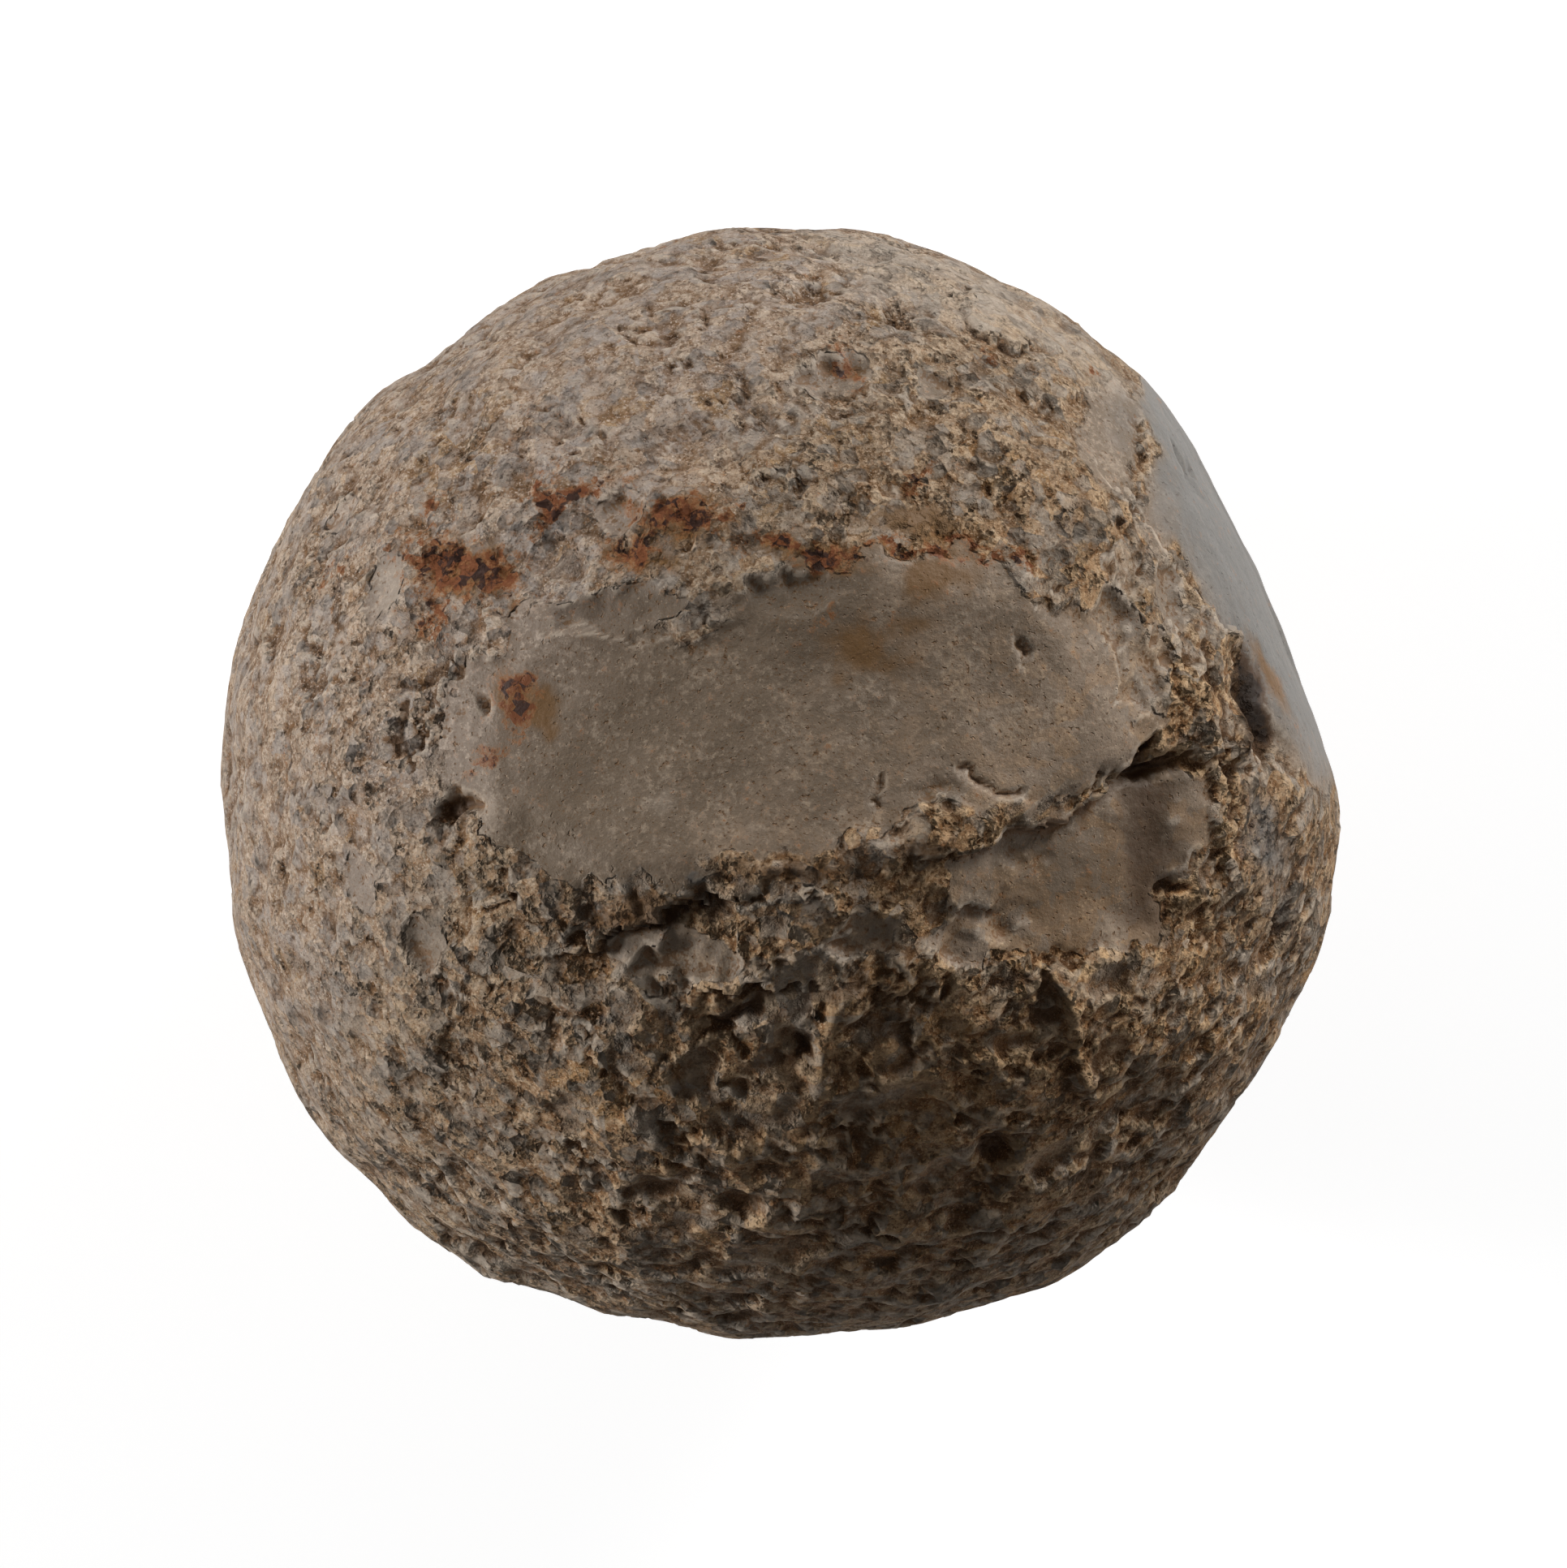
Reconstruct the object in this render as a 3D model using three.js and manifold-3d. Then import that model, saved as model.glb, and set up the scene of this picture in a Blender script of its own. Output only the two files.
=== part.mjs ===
// Hammerstone: a fist-sized flint nodule, rounded by use as a hammer, in millimetres with +Z up.
// It is one piece of stone. Most of it is battered to a rough skin, and a few smooth flake scars are left.
// The stone lies on a small worn flat, and the origin is under the middle of the stone on that flat.
import * as THREE from "three";
import { mergeVertices } from "three/addons/utils/BufferGeometryUtils.js";
import Module from "manifold-3d";

// The nodule before anything is struck off it
const stoneWidth = 74;
const stoneDepth = 73.7;
const crownHeight = 34.6;
const baseHeight = 34.4;

// The worn flat that it rests on: how far it cuts into the base
const seatInset = 1.6;

// Swells and hollows of the outline: bearing from +X, tilt from +Z, spread over the skin, and height
const swells = [
  { bearing: 58, tilt: 90, spread: 11, height: -1.75 },
  { bearing: 90, tilt: 86, spread: 16, height: -0.4 },
  { bearing: 106, tilt: 88, spread: 8, height: -0.5 },
  { bearing: 122, tilt: 86, spread: 14, height: -1.15 },
  { bearing: 140, tilt: 90, spread: 8, height: -0.3 },
  { bearing: 162, tilt: 90, spread: 9, height: -0.7 },
  { bearing: 184, tilt: 90, spread: 13, height: -0.6 },
  { bearing: 200, tilt: 90, spread: 11, height: 0.4 },
  { bearing: 225, tilt: 90, spread: 13, height: 1.1 },
  { bearing: 240, tilt: 90, spread: 8, height: 0.8 },
  { bearing: 253, tilt: 90, spread: 8, height: 0.4 },
  { bearing: 272, tilt: 90, spread: 9, height: 0.3 },
  { bearing: 288, tilt: 90, spread: 8, height: 0.3 },
  { bearing: 303, tilt: 90, spread: 14, height: 1.0 },
  { bearing: 317, tilt: 90, spread: 6, height: 0.45 },
  { bearing: 328, tilt: 90, spread: 6, height: -0.3 },
  { bearing: 343, tilt: 90, spread: 8, height: 1.5 },
  { bearing: 75, tilt: 132, spread: 12, height: -0.9 },
];

// The skin's broad unevenness, as layers of plane waves
const waveLayers = [
  { spacing: 16, height: 0.18 },
  { spacing: 9, height: 0.16 },
  { spacing: 5.5, height: 0.1 },
];
const wavesPerLayer = 28;

// The rims of the three smooth scars on the crown, read off in plan
const crownScarRim = [
  [-24.2, 0.3], [-22.6, 2], [-21.2, 4], [-20.4, 6.8], [-19.6, 10], [-15, 12.2], [-9, 11], [-6, 11.5],
  [-2, 13], [3.6, 13.8], [7.4, 14.8], [12.8, 14.6], [17.6, 13.2], [20.8, 10.2], [22.6, 7.3], [25.9, 3.2],
  [22.4, 0.3], [18.1, -1.8], [13, -3.6], [9.5, -2.9], [5.5, -3.4], [3, -4.8], [-2.5, -5.6], [-5, -7],
  [-11, -7.4], [-14, -6.9], [-17.3, -4.4], [-19.5, -2.4],
];
const leftPlateRim = [
  [-24.2, 0.3], [-22.6, 2], [-21.2, 4], [-20.4, 6.8], [-19.6, 10], [-15, 12.2], [-6, 11], [-6, -6],
  [-13, -6.8], [-17.3, -4.4], [-19.5, -2.4],
];
const stepScarRim = [
  [12.2, -5.6], [18.1, -2.6], [22.5, -0.7], [25.9, 0.9], [28.2, 0.5], [28.6, -3.2], [28, -5.2],
  [25.6, -6.8], [26.2, -10.1], [22.5, -11.1], [18.6, -12], [14.2, -12], [11, -9.6], [10.3, -7],
];

// Smooth flake scars. Each is a shallow saddle that faces along bearing and tilt and lies inset mm below
// the skin. bowLevel and bowSteep are its radii of curvature, level round the stone and up and down it,
// negative where it is hollow, and spin turns them both round the direction that the scar faces.
const flakeScars = [
  { bearing: 80, tilt: 5.7, inset: 2.0, bowLevel: 52, bowSteep: -58, spin: 13, rim: crownScarRim },
  { bearing: 168, tilt: 36, inset: 0.8, bowLevel: 70, bowSteep: 60, spin: 0, rim: leftPlateRim },
  { bearing: 25, tilt: 83, inset: 2.25, bowLevel: 105, bowSteep: 66, spin: 4 },
  { bearing: 343, tilt: 34, inset: 1.6, bowLevel: 300, bowSteep: -60, spin: -20, rim: stepScarRim },
  { bearing: 250, tilt: 118, inset: 1.5, bowLevel: 90, bowSteep: -120, spin: 20 },
  { bearing: 150, tilt: 112, inset: 1.3, bowLevel: 300, bowSteep: 120, spin: 30 },
  { bearing: 25, tilt: 132, inset: 1.7, bowLevel: 75, bowSteep: 200, spin: -30 },
];
const rimWall = 0.5;

// The largest chips that blows have burst off, spread over the whole stone outside the smooth scars
const greatChips = 72;
const greatChipLength = [2.6, 5.0];
const greatChipDepth = [0.2, 0.55];
const greatChipLean = 8;
const chipHollow = 0.9;
const chipWall = 0.5;

// Step-fractured ledges on the crown. The line is read off in plan, the skin is lower to the right of it
// as it is followed, and it climbs back to its old level over the run.
const ledges = [
  { line: [[12, -4.9], [17, -3.2], [21.5, -1], [25, 1.9], [26.7, 0.8], [27.4, -0.4]], drop: 1.6, run: 4.5 },
  { line: [[-17.5, -8.8], [-11.2, -9.2], [-8, -8.6], [-2, -7.4]], drop: 1.3, run: 3.2 },
  { line: [[34.3, 3.5], [30.5, 8.9], [27.8, 12.2], [23.5, 17.5], [20.3, 21.8]], drop: 0.6, run: 3 },
  { line: [[-5, -13.4], [-3, -14.1], [-0.5, -13.6], [2, -14.6], [4, -13.2]], drop: 0.9, run: 1.8 },
];

// Deep pits and the cleft at the right-hand side: plan middle, half length, half width, turn and depth
const pits = [
  { middle: [32.2, 5], length: 3.6, width: 1.5, turn: -74, depth: 3.4 },
  { middle: [24.9, 0.8], length: 2.3, width: 0.9, turn: 12, depth: 1.3 },
  { middle: [1.7, -18], length: 2.0, width: 1.7, turn: 20, depth: 1.0 },
  { middle: [14.6, -23.8], length: 1.8, width: 1.3, turn: 40, depth: 1.3 },
];

// Faces per edge of the icosahedron that the skin is pressed out of
const skinSteps = 23;
const toolMargin = 5;

const radians = THREE.MathUtils.degToRad;
const goldenTurn = 2.39996;

function direction(bearing, tilt) {
  const level = Math.sin(radians(tilt));
  const turn = radians(bearing);
  return new THREE.Vector3(level * Math.cos(turn), level * Math.sin(turn), Math.cos(radians(tilt)));
}

// The part of a number after its point, which spreads step after step evenly between 0 and 1
function fraction(value) {
  return value - Math.floor(value);
}

// Distance from the middle to the unscarred nodule along a unit direction
function noduleReach(towards) {
  const rise = towards.z > 0 ? crownHeight : baseHeight;
  return 1 / towards.clone().divide(new THREE.Vector3(stoneWidth / 2, stoneDepth / 2, rise)).length();
}

// The waves of one layer: headings spread evenly over a ball, each with its own length and start
function wavesOfLayer(layer, index) {
  const seed = index + 1;
  return Array.from({ length: wavesPerLayer }, (_, count) => {
    const rise = 1 - (2 * count + 1) / wavesPerLayer;
    const turn = goldenTurn * count + 1.7 * seed;
    const level = Math.sqrt(1 - rise ** 2);
    const steepness = (2 * Math.PI / layer.spacing) * (0.6 + fraction(0.618034 * count + 0.37 * seed));
    const heading = new THREE.Vector3(level * Math.cos(turn), level * Math.sin(turn), rise);
    return {
      heading: heading.multiplyScalar(steepness),
      start: 2 * Math.PI * fraction(0.754878 * count ** 2 + 0.31 * seed),
      height: layer.height * Math.sqrt(2 / wavesPerLayer),
    };
  });
}
const waves = waveLayers.flatMap(wavesOfLayer);

function waveHeight(point) {
  return waves.reduce((sum, wave) => sum + wave.height * Math.cos(point.dot(wave.heading) + wave.start), 0);
}

// Where a place lies beside a broken line in plan: how far off, on its right or not, and the line's pull on
// it, which falls off over the run and towards the line's ends
function besideLine(line, place, run = 1) {
  const steps = line.slice(1).map((end, index) => {
    const start = new THREE.Vector2(...line[index]);
    return { start, step: new THREE.Vector2(...end).sub(start) };
  });
  const length = steps.reduce((sum, { step }) => sum + step.length(), 0);
  const found = { apart: Infinity, right: false, pull: 0 };
  let passed = 0;
  for (const { start, step } of steps) {
    const toPlace = place.clone().sub(start);
    const share = THREE.MathUtils.clamp(toPlace.dot(step) / step.lengthSq(), 0, 1);
    const apart = toPlace.distanceTo(step.clone().multiplyScalar(share));
    if (apart < found.apart) Object.assign(found, { apart, right: step.cross(toPlace) < 0 });
    const along = (passed + share * step.length()) / length;
    const taper = Math.min(1, 5 * Math.min(along, 1 - along));
    found.pull = Math.max(found.pull, taper * Math.exp(-apart / run));
    passed += step.length();
  }
  return found;
}

function isInsideRim(rim, place) {
  let inside = false;
  rim.forEach((start, index) => {
    const end = rim[(index + 1) % rim.length];
    const spans = (start[1] > place.y) !== (end[1] > place.y);
    const crossing = start[0] + ((end[0] - start[0]) * (place.y - start[1])) / (end[1] - start[1]);
    if (spans && place.x < crossing) inside = !inside;
  });
  return inside;
}

// A scar's frame: the way that it faces, its two curved directions and its distance from the middle
function scarFrame(scar) {
  const facing = direction(scar.bearing, scar.tilt);
  const level = new THREE.Vector3(0, 0, 1).cross(facing).normalize();
  level.applyAxisAngle(facing, radians(scar.spin));
  const steep = facing.clone().cross(level);
  const halves = new THREE.Vector3(stoneWidth / 2, stoneDepth / 2, crownHeight);
  const distance = facing.clone().multiply(halves).length() - scar.inset;
  return { ...scar, facing, level, steep, distance };
}
const scarFrames = flakeScars.map(scarFrame);

// Distance from the middle to a scar's saddle, or no limit where the direction misses it
function scarRadius(frame, towards, place) {
  const facing = towards.dot(frame.facing);
  const level = towards.dot(frame.level);
  const steep = towards.dot(frame.steep);
  const bend = level ** 2 / (2 * frame.bowLevel) + steep ** 2 / (2 * frame.bowSteep);
  const root = facing ** 2 + 4 * bend * frame.distance;
  if (facing <= 0 || root <= 0 || (frame.rim && towards.z <= 0)) return Infinity;
  const bed = (2 * frame.distance) / (facing + Math.sqrt(root));
  if (!frame.rim || isInsideRim(frame.rim, place)) return bed;
  return bed + rimWall * besideLine([...frame.rim, frame.rim[0]], place).apart;
}

// The skin before it is battered: the swollen nodule with its smooth scars
function scarredSkin(towards) {
  let skin = noduleReach(towards);
  for (const swell of swells) {
    const apart = THREE.MathUtils.radToDeg(towards.angleTo(direction(swell.bearing, swell.tilt)));
    skin += swell.height * Math.exp(-((apart / swell.spread) ** 2));
  }
  const point = towards.clone().multiplyScalar(skin);
  const place = new THREE.Vector2(point.x, point.y);
  skin += waveHeight(point);
  const beds = scarFrames.map((frame) => scarRadius(frame, towards, place));
  const isSmooth = scarFrames.some((frame, index) => (
    frame.rim ? towards.z > 0 && isInsideRim(frame.rim, place) : skin - beds[index] > 0.1
  ));
  return { skin: Math.min(skin, ...beds), place, isSmooth };
}

// Chip number count: a leaning, hollow flake bed whose sizes step evenly through their ranges
function greatChip(count) {
  const rise = 1 - (2 * count + 1) / greatChips;
  const turn = goldenTurn * count + 0.8 * fraction(0.445042 * count);
  const level = Math.sqrt(1 - rise ** 2);
  const towards = new THREE.Vector3(level * Math.cos(turn), level * Math.sin(turn), rise);
  const long = THREE.MathUtils.lerp(...greatChipLength, fraction(0.754878 * count));
  return {
    towards,
    long,
    wide: long * (0.55 + 0.4 * fraction(0.56984 * count)),
    turn: 180 * fraction(0.618034 * count),
    depth: THREE.MathUtils.lerp(...greatChipDepth, fraction(0.324718 * count)),
    lean: greatChipLean * fraction(0.869837 * count),
    leanTo: 360 * fraction(0.445042 * count),
  };
}

function chipFrame(chip) {
  const { skin, isSmooth } = scarredSkin(chip.towards);
  const side = Math.abs(chip.towards.y) < 0.9 ? new THREE.Vector3(0, 1, 0) : new THREE.Vector3(0, 0, 1);
  const level = side.cross(chip.towards).normalize();
  const steep = chip.towards.clone().cross(level);
  const leanTo = level.clone().applyAxisAngle(chip.towards, radians(chip.leanTo));
  const tip = radians(chip.lean);
  const facing = chip.towards.clone().multiplyScalar(Math.cos(tip)).addScaledVector(leanTo, Math.sin(tip));
  const middle = chip.towards.clone().multiplyScalar(noduleReach(chip.towards));
  const height = (skin - chip.depth) * chip.towards.dot(facing);
  return { ...chip, isSmooth, level, steep, facing, middle, height };
}
const chipFrames = Array.from({ length: greatChips }, (_, count) => chipFrame(greatChip(count)))
  .filter((chip) => !chip.isSmooth);

// Distance from the middle to a chip's bed. The bed climbs by hollow times its depth from its middle to its
// rim, and by the wall for each mm beyond it.
function chipRadius(chip, towards) {
  const offset = towards.clone().multiplyScalar(noduleReach(towards)).sub(chip.middle);
  if (offset.length() > 1.3 * chip.long + 0.8) return Infinity;
  const flat = new THREE.Vector2(offset.dot(chip.level), offset.dot(chip.steep));
  flat.rotateAround(new THREE.Vector2(), -radians(chip.turn));
  const reach = Math.hypot(flat.x / chip.long, flat.y / chip.wide);
  const bed = chip.height / Math.max(towards.dot(chip.facing), 0.3);
  return bed + chipHollow * chip.depth * reach ** 2 + chipWall * Math.max(reach - 1, 0) * chip.wide;
}

function ledgeDrop(ledge, place) {
  const { right, pull } = besideLine(ledge.line, place, ledge.run);
  return right ? ledge.drop * pull : 0;
}

function pitDepth(pit, place) {
  const offset = place.clone().sub(new THREE.Vector2(...pit.middle));
  offset.rotateAround(new THREE.Vector2(), -radians(pit.turn));
  const reach = Math.hypot(offset.x / pit.length, offset.y / pit.width);
  return pit.depth * Math.exp(-(reach ** 3));
}

// The finished skin's distance from the middle, seen along a unit direction
function skinRadius(towards) {
  const { skin: scarred, place } = scarredSkin(towards);
  let skin = Math.min(scarred, ...chipFrames.map((chip) => chipRadius(chip, towards)));
  if (towards.z > 0) {
    for (const ledge of ledges) skin -= ledgeDrop(ledge, place);
    for (const pit of pits) skin -= pitDepth(pit, place);
  }
  return skin;
}

// Press the skin out of an icosahedron whose faces are divided evenly
function pressSkin() {
  const ball = new THREE.IcosahedronGeometry(1, skinSteps);
  ball.deleteAttribute("normal");
  ball.deleteAttribute("uv");
  const skin = mergeVertices(ball);
  const place = skin.attributes.position;
  const towards = new THREE.Vector3();
  for (let corner = 0; corner < place.count; corner += 1) {
    towards.fromBufferAttribute(place, corner).normalize();
    towards.multiplyScalar(skinRadius(towards));
    place.setXYZ(corner, towards.x, towards.y, towards.z);
  }
  return skin;
}

const wasm = await Module();
wasm.setup();

function toSolid(geometry) {
  return new wasm.Manifold(new wasm.Mesh({
    numProp: 3,
    vertProperties: Float32Array.from(geometry.attributes.position.array),
    triVerts: Uint32Array.from(geometry.index.array),
  }));
}

function toGeometry(solid) {
  const mesh = solid.getMesh();
  const geometry = new THREE.BufferGeometry();
  geometry.setAttribute("position", new THREE.BufferAttribute(mesh.vertProperties, 3));
  geometry.setIndex(new THREE.BufferAttribute(mesh.triVerts, 1));
  return geometry;
}

// What lies below the worn flat, as a block to cut away
function blockUnderSeat() {
  const tall = seatInset + toolMargin;
  const block = new THREE.BoxGeometry(stoneWidth, stoneDepth, tall);
  block.translate(0, 0, seatInset - baseHeight - tall / 2);
  block.deleteAttribute("normal");
  block.deleteAttribute("uv");
  return mergeVertices(block);
}

function hammerstoneGeometry() {
  const stone = toGeometry(toSolid(pressSkin()).subtract(toSolid(blockUnderSeat())));
  stone.computeBoundingBox();
  const middle = stone.boundingBox.getCenter(new THREE.Vector3());
  stone.translate(-middle.x, -middle.y, -stone.boundingBox.min.z);
  stone.computeVertexNormals();
  return stone;
}

const batteredFlint = new THREE.MeshStandardMaterial({ color: 0x9d8c7a, roughness: 0.85, metalness: 0 });

const hammerstone = new THREE.Mesh(hammerstoneGeometry(), batteredFlint);
hammerstone.name = "hammerstone";

const group = new THREE.Group();
group.add(hammerstone);
export default group;
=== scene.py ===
import math

import bmesh
import bpy
import numpy as np
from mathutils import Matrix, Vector, kdtree


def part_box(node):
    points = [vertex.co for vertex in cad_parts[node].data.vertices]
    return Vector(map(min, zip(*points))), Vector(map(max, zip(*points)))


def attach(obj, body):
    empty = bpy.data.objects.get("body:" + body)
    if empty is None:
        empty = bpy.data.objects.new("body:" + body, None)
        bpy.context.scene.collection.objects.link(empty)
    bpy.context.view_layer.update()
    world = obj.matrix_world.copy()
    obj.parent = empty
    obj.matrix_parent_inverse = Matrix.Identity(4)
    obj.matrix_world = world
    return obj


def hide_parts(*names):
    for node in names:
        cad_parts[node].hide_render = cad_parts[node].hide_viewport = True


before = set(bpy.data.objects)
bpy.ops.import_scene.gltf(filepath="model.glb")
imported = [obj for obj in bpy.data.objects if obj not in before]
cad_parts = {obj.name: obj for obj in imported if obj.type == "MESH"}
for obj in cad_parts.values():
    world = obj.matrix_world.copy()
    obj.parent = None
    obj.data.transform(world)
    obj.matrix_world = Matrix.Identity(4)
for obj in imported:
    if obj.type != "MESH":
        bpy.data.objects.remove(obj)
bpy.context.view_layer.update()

# Camera. The photograph looks straight down on the stone, with its top edge away along +Y, through a long
# lens. The stone's middle lies a little left of the frame's.
PHOTO_WIDTH = 1931
PHOTO_PX_PER_M = 18600
STONE_MIDDLE_PX = (962.5, 966.0)
PHOTO_MIDDLE_PX = (965.5, 966.0)
CAMERA_DISTANCE = 0.9
SENSOR_MM = 36

stone_low, stone_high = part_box("hammerstone")
stone_middle = (stone_low + stone_high) / 2
view_width = PHOTO_WIDTH / PHOTO_PX_PER_M
camera_data = bpy.data.cameras.new("overhead_camera")
camera_data.sensor_width = SENSOR_MM
camera_data.lens = SENSOR_MM * CAMERA_DISTANCE / view_width
camera_data.clip_start = 0.01
camera = bpy.data.objects.new("overhead_camera", camera_data)
bpy.context.scene.collection.objects.link(camera)
camera.location = (
    stone_middle.x + (PHOTO_MIDDLE_PX[0] - STONE_MIDDLE_PX[0]) / PHOTO_PX_PER_M,
    stone_middle.y + (STONE_MIDDLE_PX[1] - PHOTO_MIDDLE_PX[1]) / PHOTO_PX_PER_M,
    stone_middle.z + CAMERA_DISTANCE,
)
bpy.context.scene.camera = camera

# The ball that the stone is carved from: a cube divided finely and swelled to a ball of unit directions.
# Its corners are spread evenly over the angles and then drawn towards the crown, which shows most.
FACE_STEPS = 128
CROWN_DRAW = 0.66

ball = bmesh.new()
bmesh.ops.create_cube(ball, size=2)
bmesh.ops.subdivide_edges(ball, edges=ball.edges[:], cuts=FACE_STEPS - 1, use_grid_fill=True)
stone_mesh = bpy.data.meshes.new("flint_nodule")
ball.to_mesh(stone_mesh)
ball.free()

CORNERS = len(stone_mesh.vertices)
cube_corners = np.zeros(CORNERS * 3)
stone_mesh.vertices.foreach_get("co", cube_corners)
ways = np.tan(cube_corners.reshape(-1, 3) * math.pi / 4)
ways /= np.linalg.norm(ways, axis=1, keepdims=True)
over = 1 + ways[:, 2]
under = CROWN_DRAW**2 * (1 - ways[:, 2])
ways = np.column_stack([
    ways[:, 0] * 2 * CROWN_DRAW / (over + under),
    ways[:, 1] * 2 * CROWN_DRAW / (over + under),
    (over - under) / (over + under),
])

edge_ends = np.zeros(len(stone_mesh.edges) * 2, int)
stone_mesh.edges.foreach_get("vertices", edge_ends)
edge_ends = edge_ends.reshape(-1, 2)
neighbour_count = np.bincount(edge_ends.ravel(), minlength=CORNERS)


def spread(values, rounds):
    """Evens values out over the neighbouring corners of the mesh."""
    for _ in range(rounds):
        total = np.bincount(edge_ends[:, 0], values[edge_ends[:, 1]], CORNERS)
        total += np.bincount(edge_ends[:, 1], values[edge_ends[:, 0]], CORNERS)
        values = (values + total / neighbour_count) / 2
    return values


# The nodule as it was picked up: an uneven ball of flint, all sizes in millimetres from its middle.
# Its broad swells and hollows are those of the solid.
STONE_WIDTH = 74
STONE_DEPTH = 73.7
CROWN_HEIGHT = 34.6
BASE_HEIGHT = 34.4
SWELLS = [
    # bearing, tilt, spread, height
    (58, 90, 11, -1.75),
    (90, 86, 16, -0.4),
    (106, 88, 8, -0.5),
    (122, 86, 14, -1.15),
    (140, 90, 8, -0.3),
    (162, 90, 9, -0.7),
    (184, 90, 13, -0.6),
    (200, 90, 11, 0.4),
    (225, 90, 13, 1.1),
    (240, 90, 8, 0.8),
    (253, 90, 8, 0.4),
    (272, 90, 9, 0.3),
    (288, 90, 8, 0.3),
    (303, 90, 14, 1.0),
    (317, 90, 6, 0.45),
    (328, 90, 6, -0.3),
    (343, 90, 8, 1.5),
    (75, 132, 12, -0.9),
]
BROAD_WAVES = [
    # spacing, height
    (16, 0.18),
    (9, 0.16),
    (5.5, 0.1),
]
GOLDEN_TURN = 2.39996


def way(bearing, tilt):
    """The unit direction at a bearing from +X and a tilt from +Z, in degrees."""
    bearing, tilt = math.radians(bearing), math.radians(tilt)
    level = math.sin(tilt)
    return np.array([level * math.cos(bearing), level * math.sin(bearing), math.cos(tilt)])


def nodule_reach(towards):
    """Distance from the middle to the unscarred ellipsoid along unit directions."""
    rise = np.where(towards[..., 2] > 0, CROWN_HEIGHT, BASE_HEIGHT)
    halves = np.stack([np.full_like(rise, STONE_WIDTH / 2), np.full_like(rise, STONE_DEPTH / 2), rise], -1)
    return 1 / np.linalg.norm(towards / halves, axis=-1)


def ripple(points, spacing, seed, waves=28):
    """Smooth ups and downs of about unit height: plane waves whose headings are spread evenly over a ball."""
    count = np.arange(waves)
    rise = 1 - (2 * count + 1) / waves
    turn = GOLDEN_TURN * count + 1.7 * seed
    headings = np.stack([np.sqrt(1 - rise**2) * np.cos(turn), np.sqrt(1 - rise**2) * np.sin(turn), rise], 1)
    headings *= (2 * math.pi / spacing * (0.6 + (0.618034 * count + 0.37 * seed) % 1))[:, None]
    starts = 2 * math.pi * ((0.754878 * count**2 + 0.31 * seed) % 1)
    return np.cos(points @ headings.T + starts).sum(axis=1) * math.sqrt(2 / waves)


def sway(points, spacing, seed):
    """A smooth random push in all three directions, of about unit length each way."""
    return np.stack([ripple(points, spacing, seed + axis) for axis in range(3)], axis=1)


skin = nodule_reach(ways)
for bearing, tilt, spread_over, height in SWELLS:
    apart = np.degrees(np.arccos(np.clip(ways @ way(bearing, tilt), -1, 1)))
    skin += height * np.exp(-((apart / spread_over) ** 2))
nodule_points = ways * skin[:, None]
on_crown = ways[:, 2] > 0
for seed, (spacing, height) in enumerate(BROAD_WAVES, 1):
    skin += height * ripple(nodule_points, spacing, seed)

# The smooth flake scars, left from before the stone was a hammer. Each is a shallow saddle that cuts off a
# piece of the nodule. A rim, read off in plan, bounds those on the crown. Beyond it the flint climbs.
RIM_WALL = 0.5
LEFT_EDGE = [(-24.2, 0.3), (-22.6, 2), (-21.2, 4), (-20.4, 6.8), (-19.6, 10), (-15, 12.2)]
CROWN_SCAR_RIM = LEFT_EDGE + [
    (-9, 11), (-6, 11.5), (-2, 13), (3.6, 13.8), (7.4, 14.8), (12.8, 14.6), (17.6, 13.2), (20.8, 10.2),
    (22.6, 7.3), (25.9, 3.2), (22.4, 0.3), (18.1, -1.8), (13, -3.6), (9.5, -2.9), (5.5, -3.4), (3, -4.8),
    (-2.5, -5.6), (-5, -7), (-11, -7.4), (-14, -6.9), (-17.3, -4.4), (-19.5, -2.4),
]
LEFT_PLATE_RIM = LEFT_EDGE + [(-6, 11), (-6, -6), (-13, -6.8), (-17.3, -4.4), (-19.5, -2.4)]
STEP_SCAR_RIM = [
    (12.2, -5.6), (18.1, -2.6), (22.5, -0.7), (25.9, 0.9), (28.2, 0.5), (28.6, -3.2), (28, -5.2),
    (25.6, -6.8), (26.2, -10.1), (22.5, -11.1), (18.6, -12), (14.2, -12), (11, -9.6), (10.3, -7),
]
RIGHT_FACET = (25, 83)
SCARS = [
    # bearing, tilt, inset, level bow, steep bow, spin, rim
    (80, 5.7, 2.0, 52, -58, 13, CROWN_SCAR_RIM),
    (168, 36, 0.8, 70, 60, 0, LEFT_PLATE_RIM),
    (*RIGHT_FACET, 2.25, 105, 66, 4, None),
    (343, 34, 1.6, 300, -60, -20, STEP_SCAR_RIM),
    (250, 118, 1.5, 90, -120, 20, None),
    (150, 112, 1.3, 300, 120, 30, None),
    (25, 132, 1.7, 75, 200, -30, None),
]
SCAR_WAVES = [
    # spacing, height, seed
    (8, 0.06, 5),
    (2, 0.012, 6),
]
FRAY = [
    # spacing, push, seed
    (3.4, 0.35, 60),
    (1.3, 0.2, 64),
]
FRESH_OVER = 0.2
LINE_TAPER = 0.2
MIDDLE_TONE = 0.5
fresh = np.zeros(CORNERS)
tone = np.full(CORNERS, MIDDLE_TONE)


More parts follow.
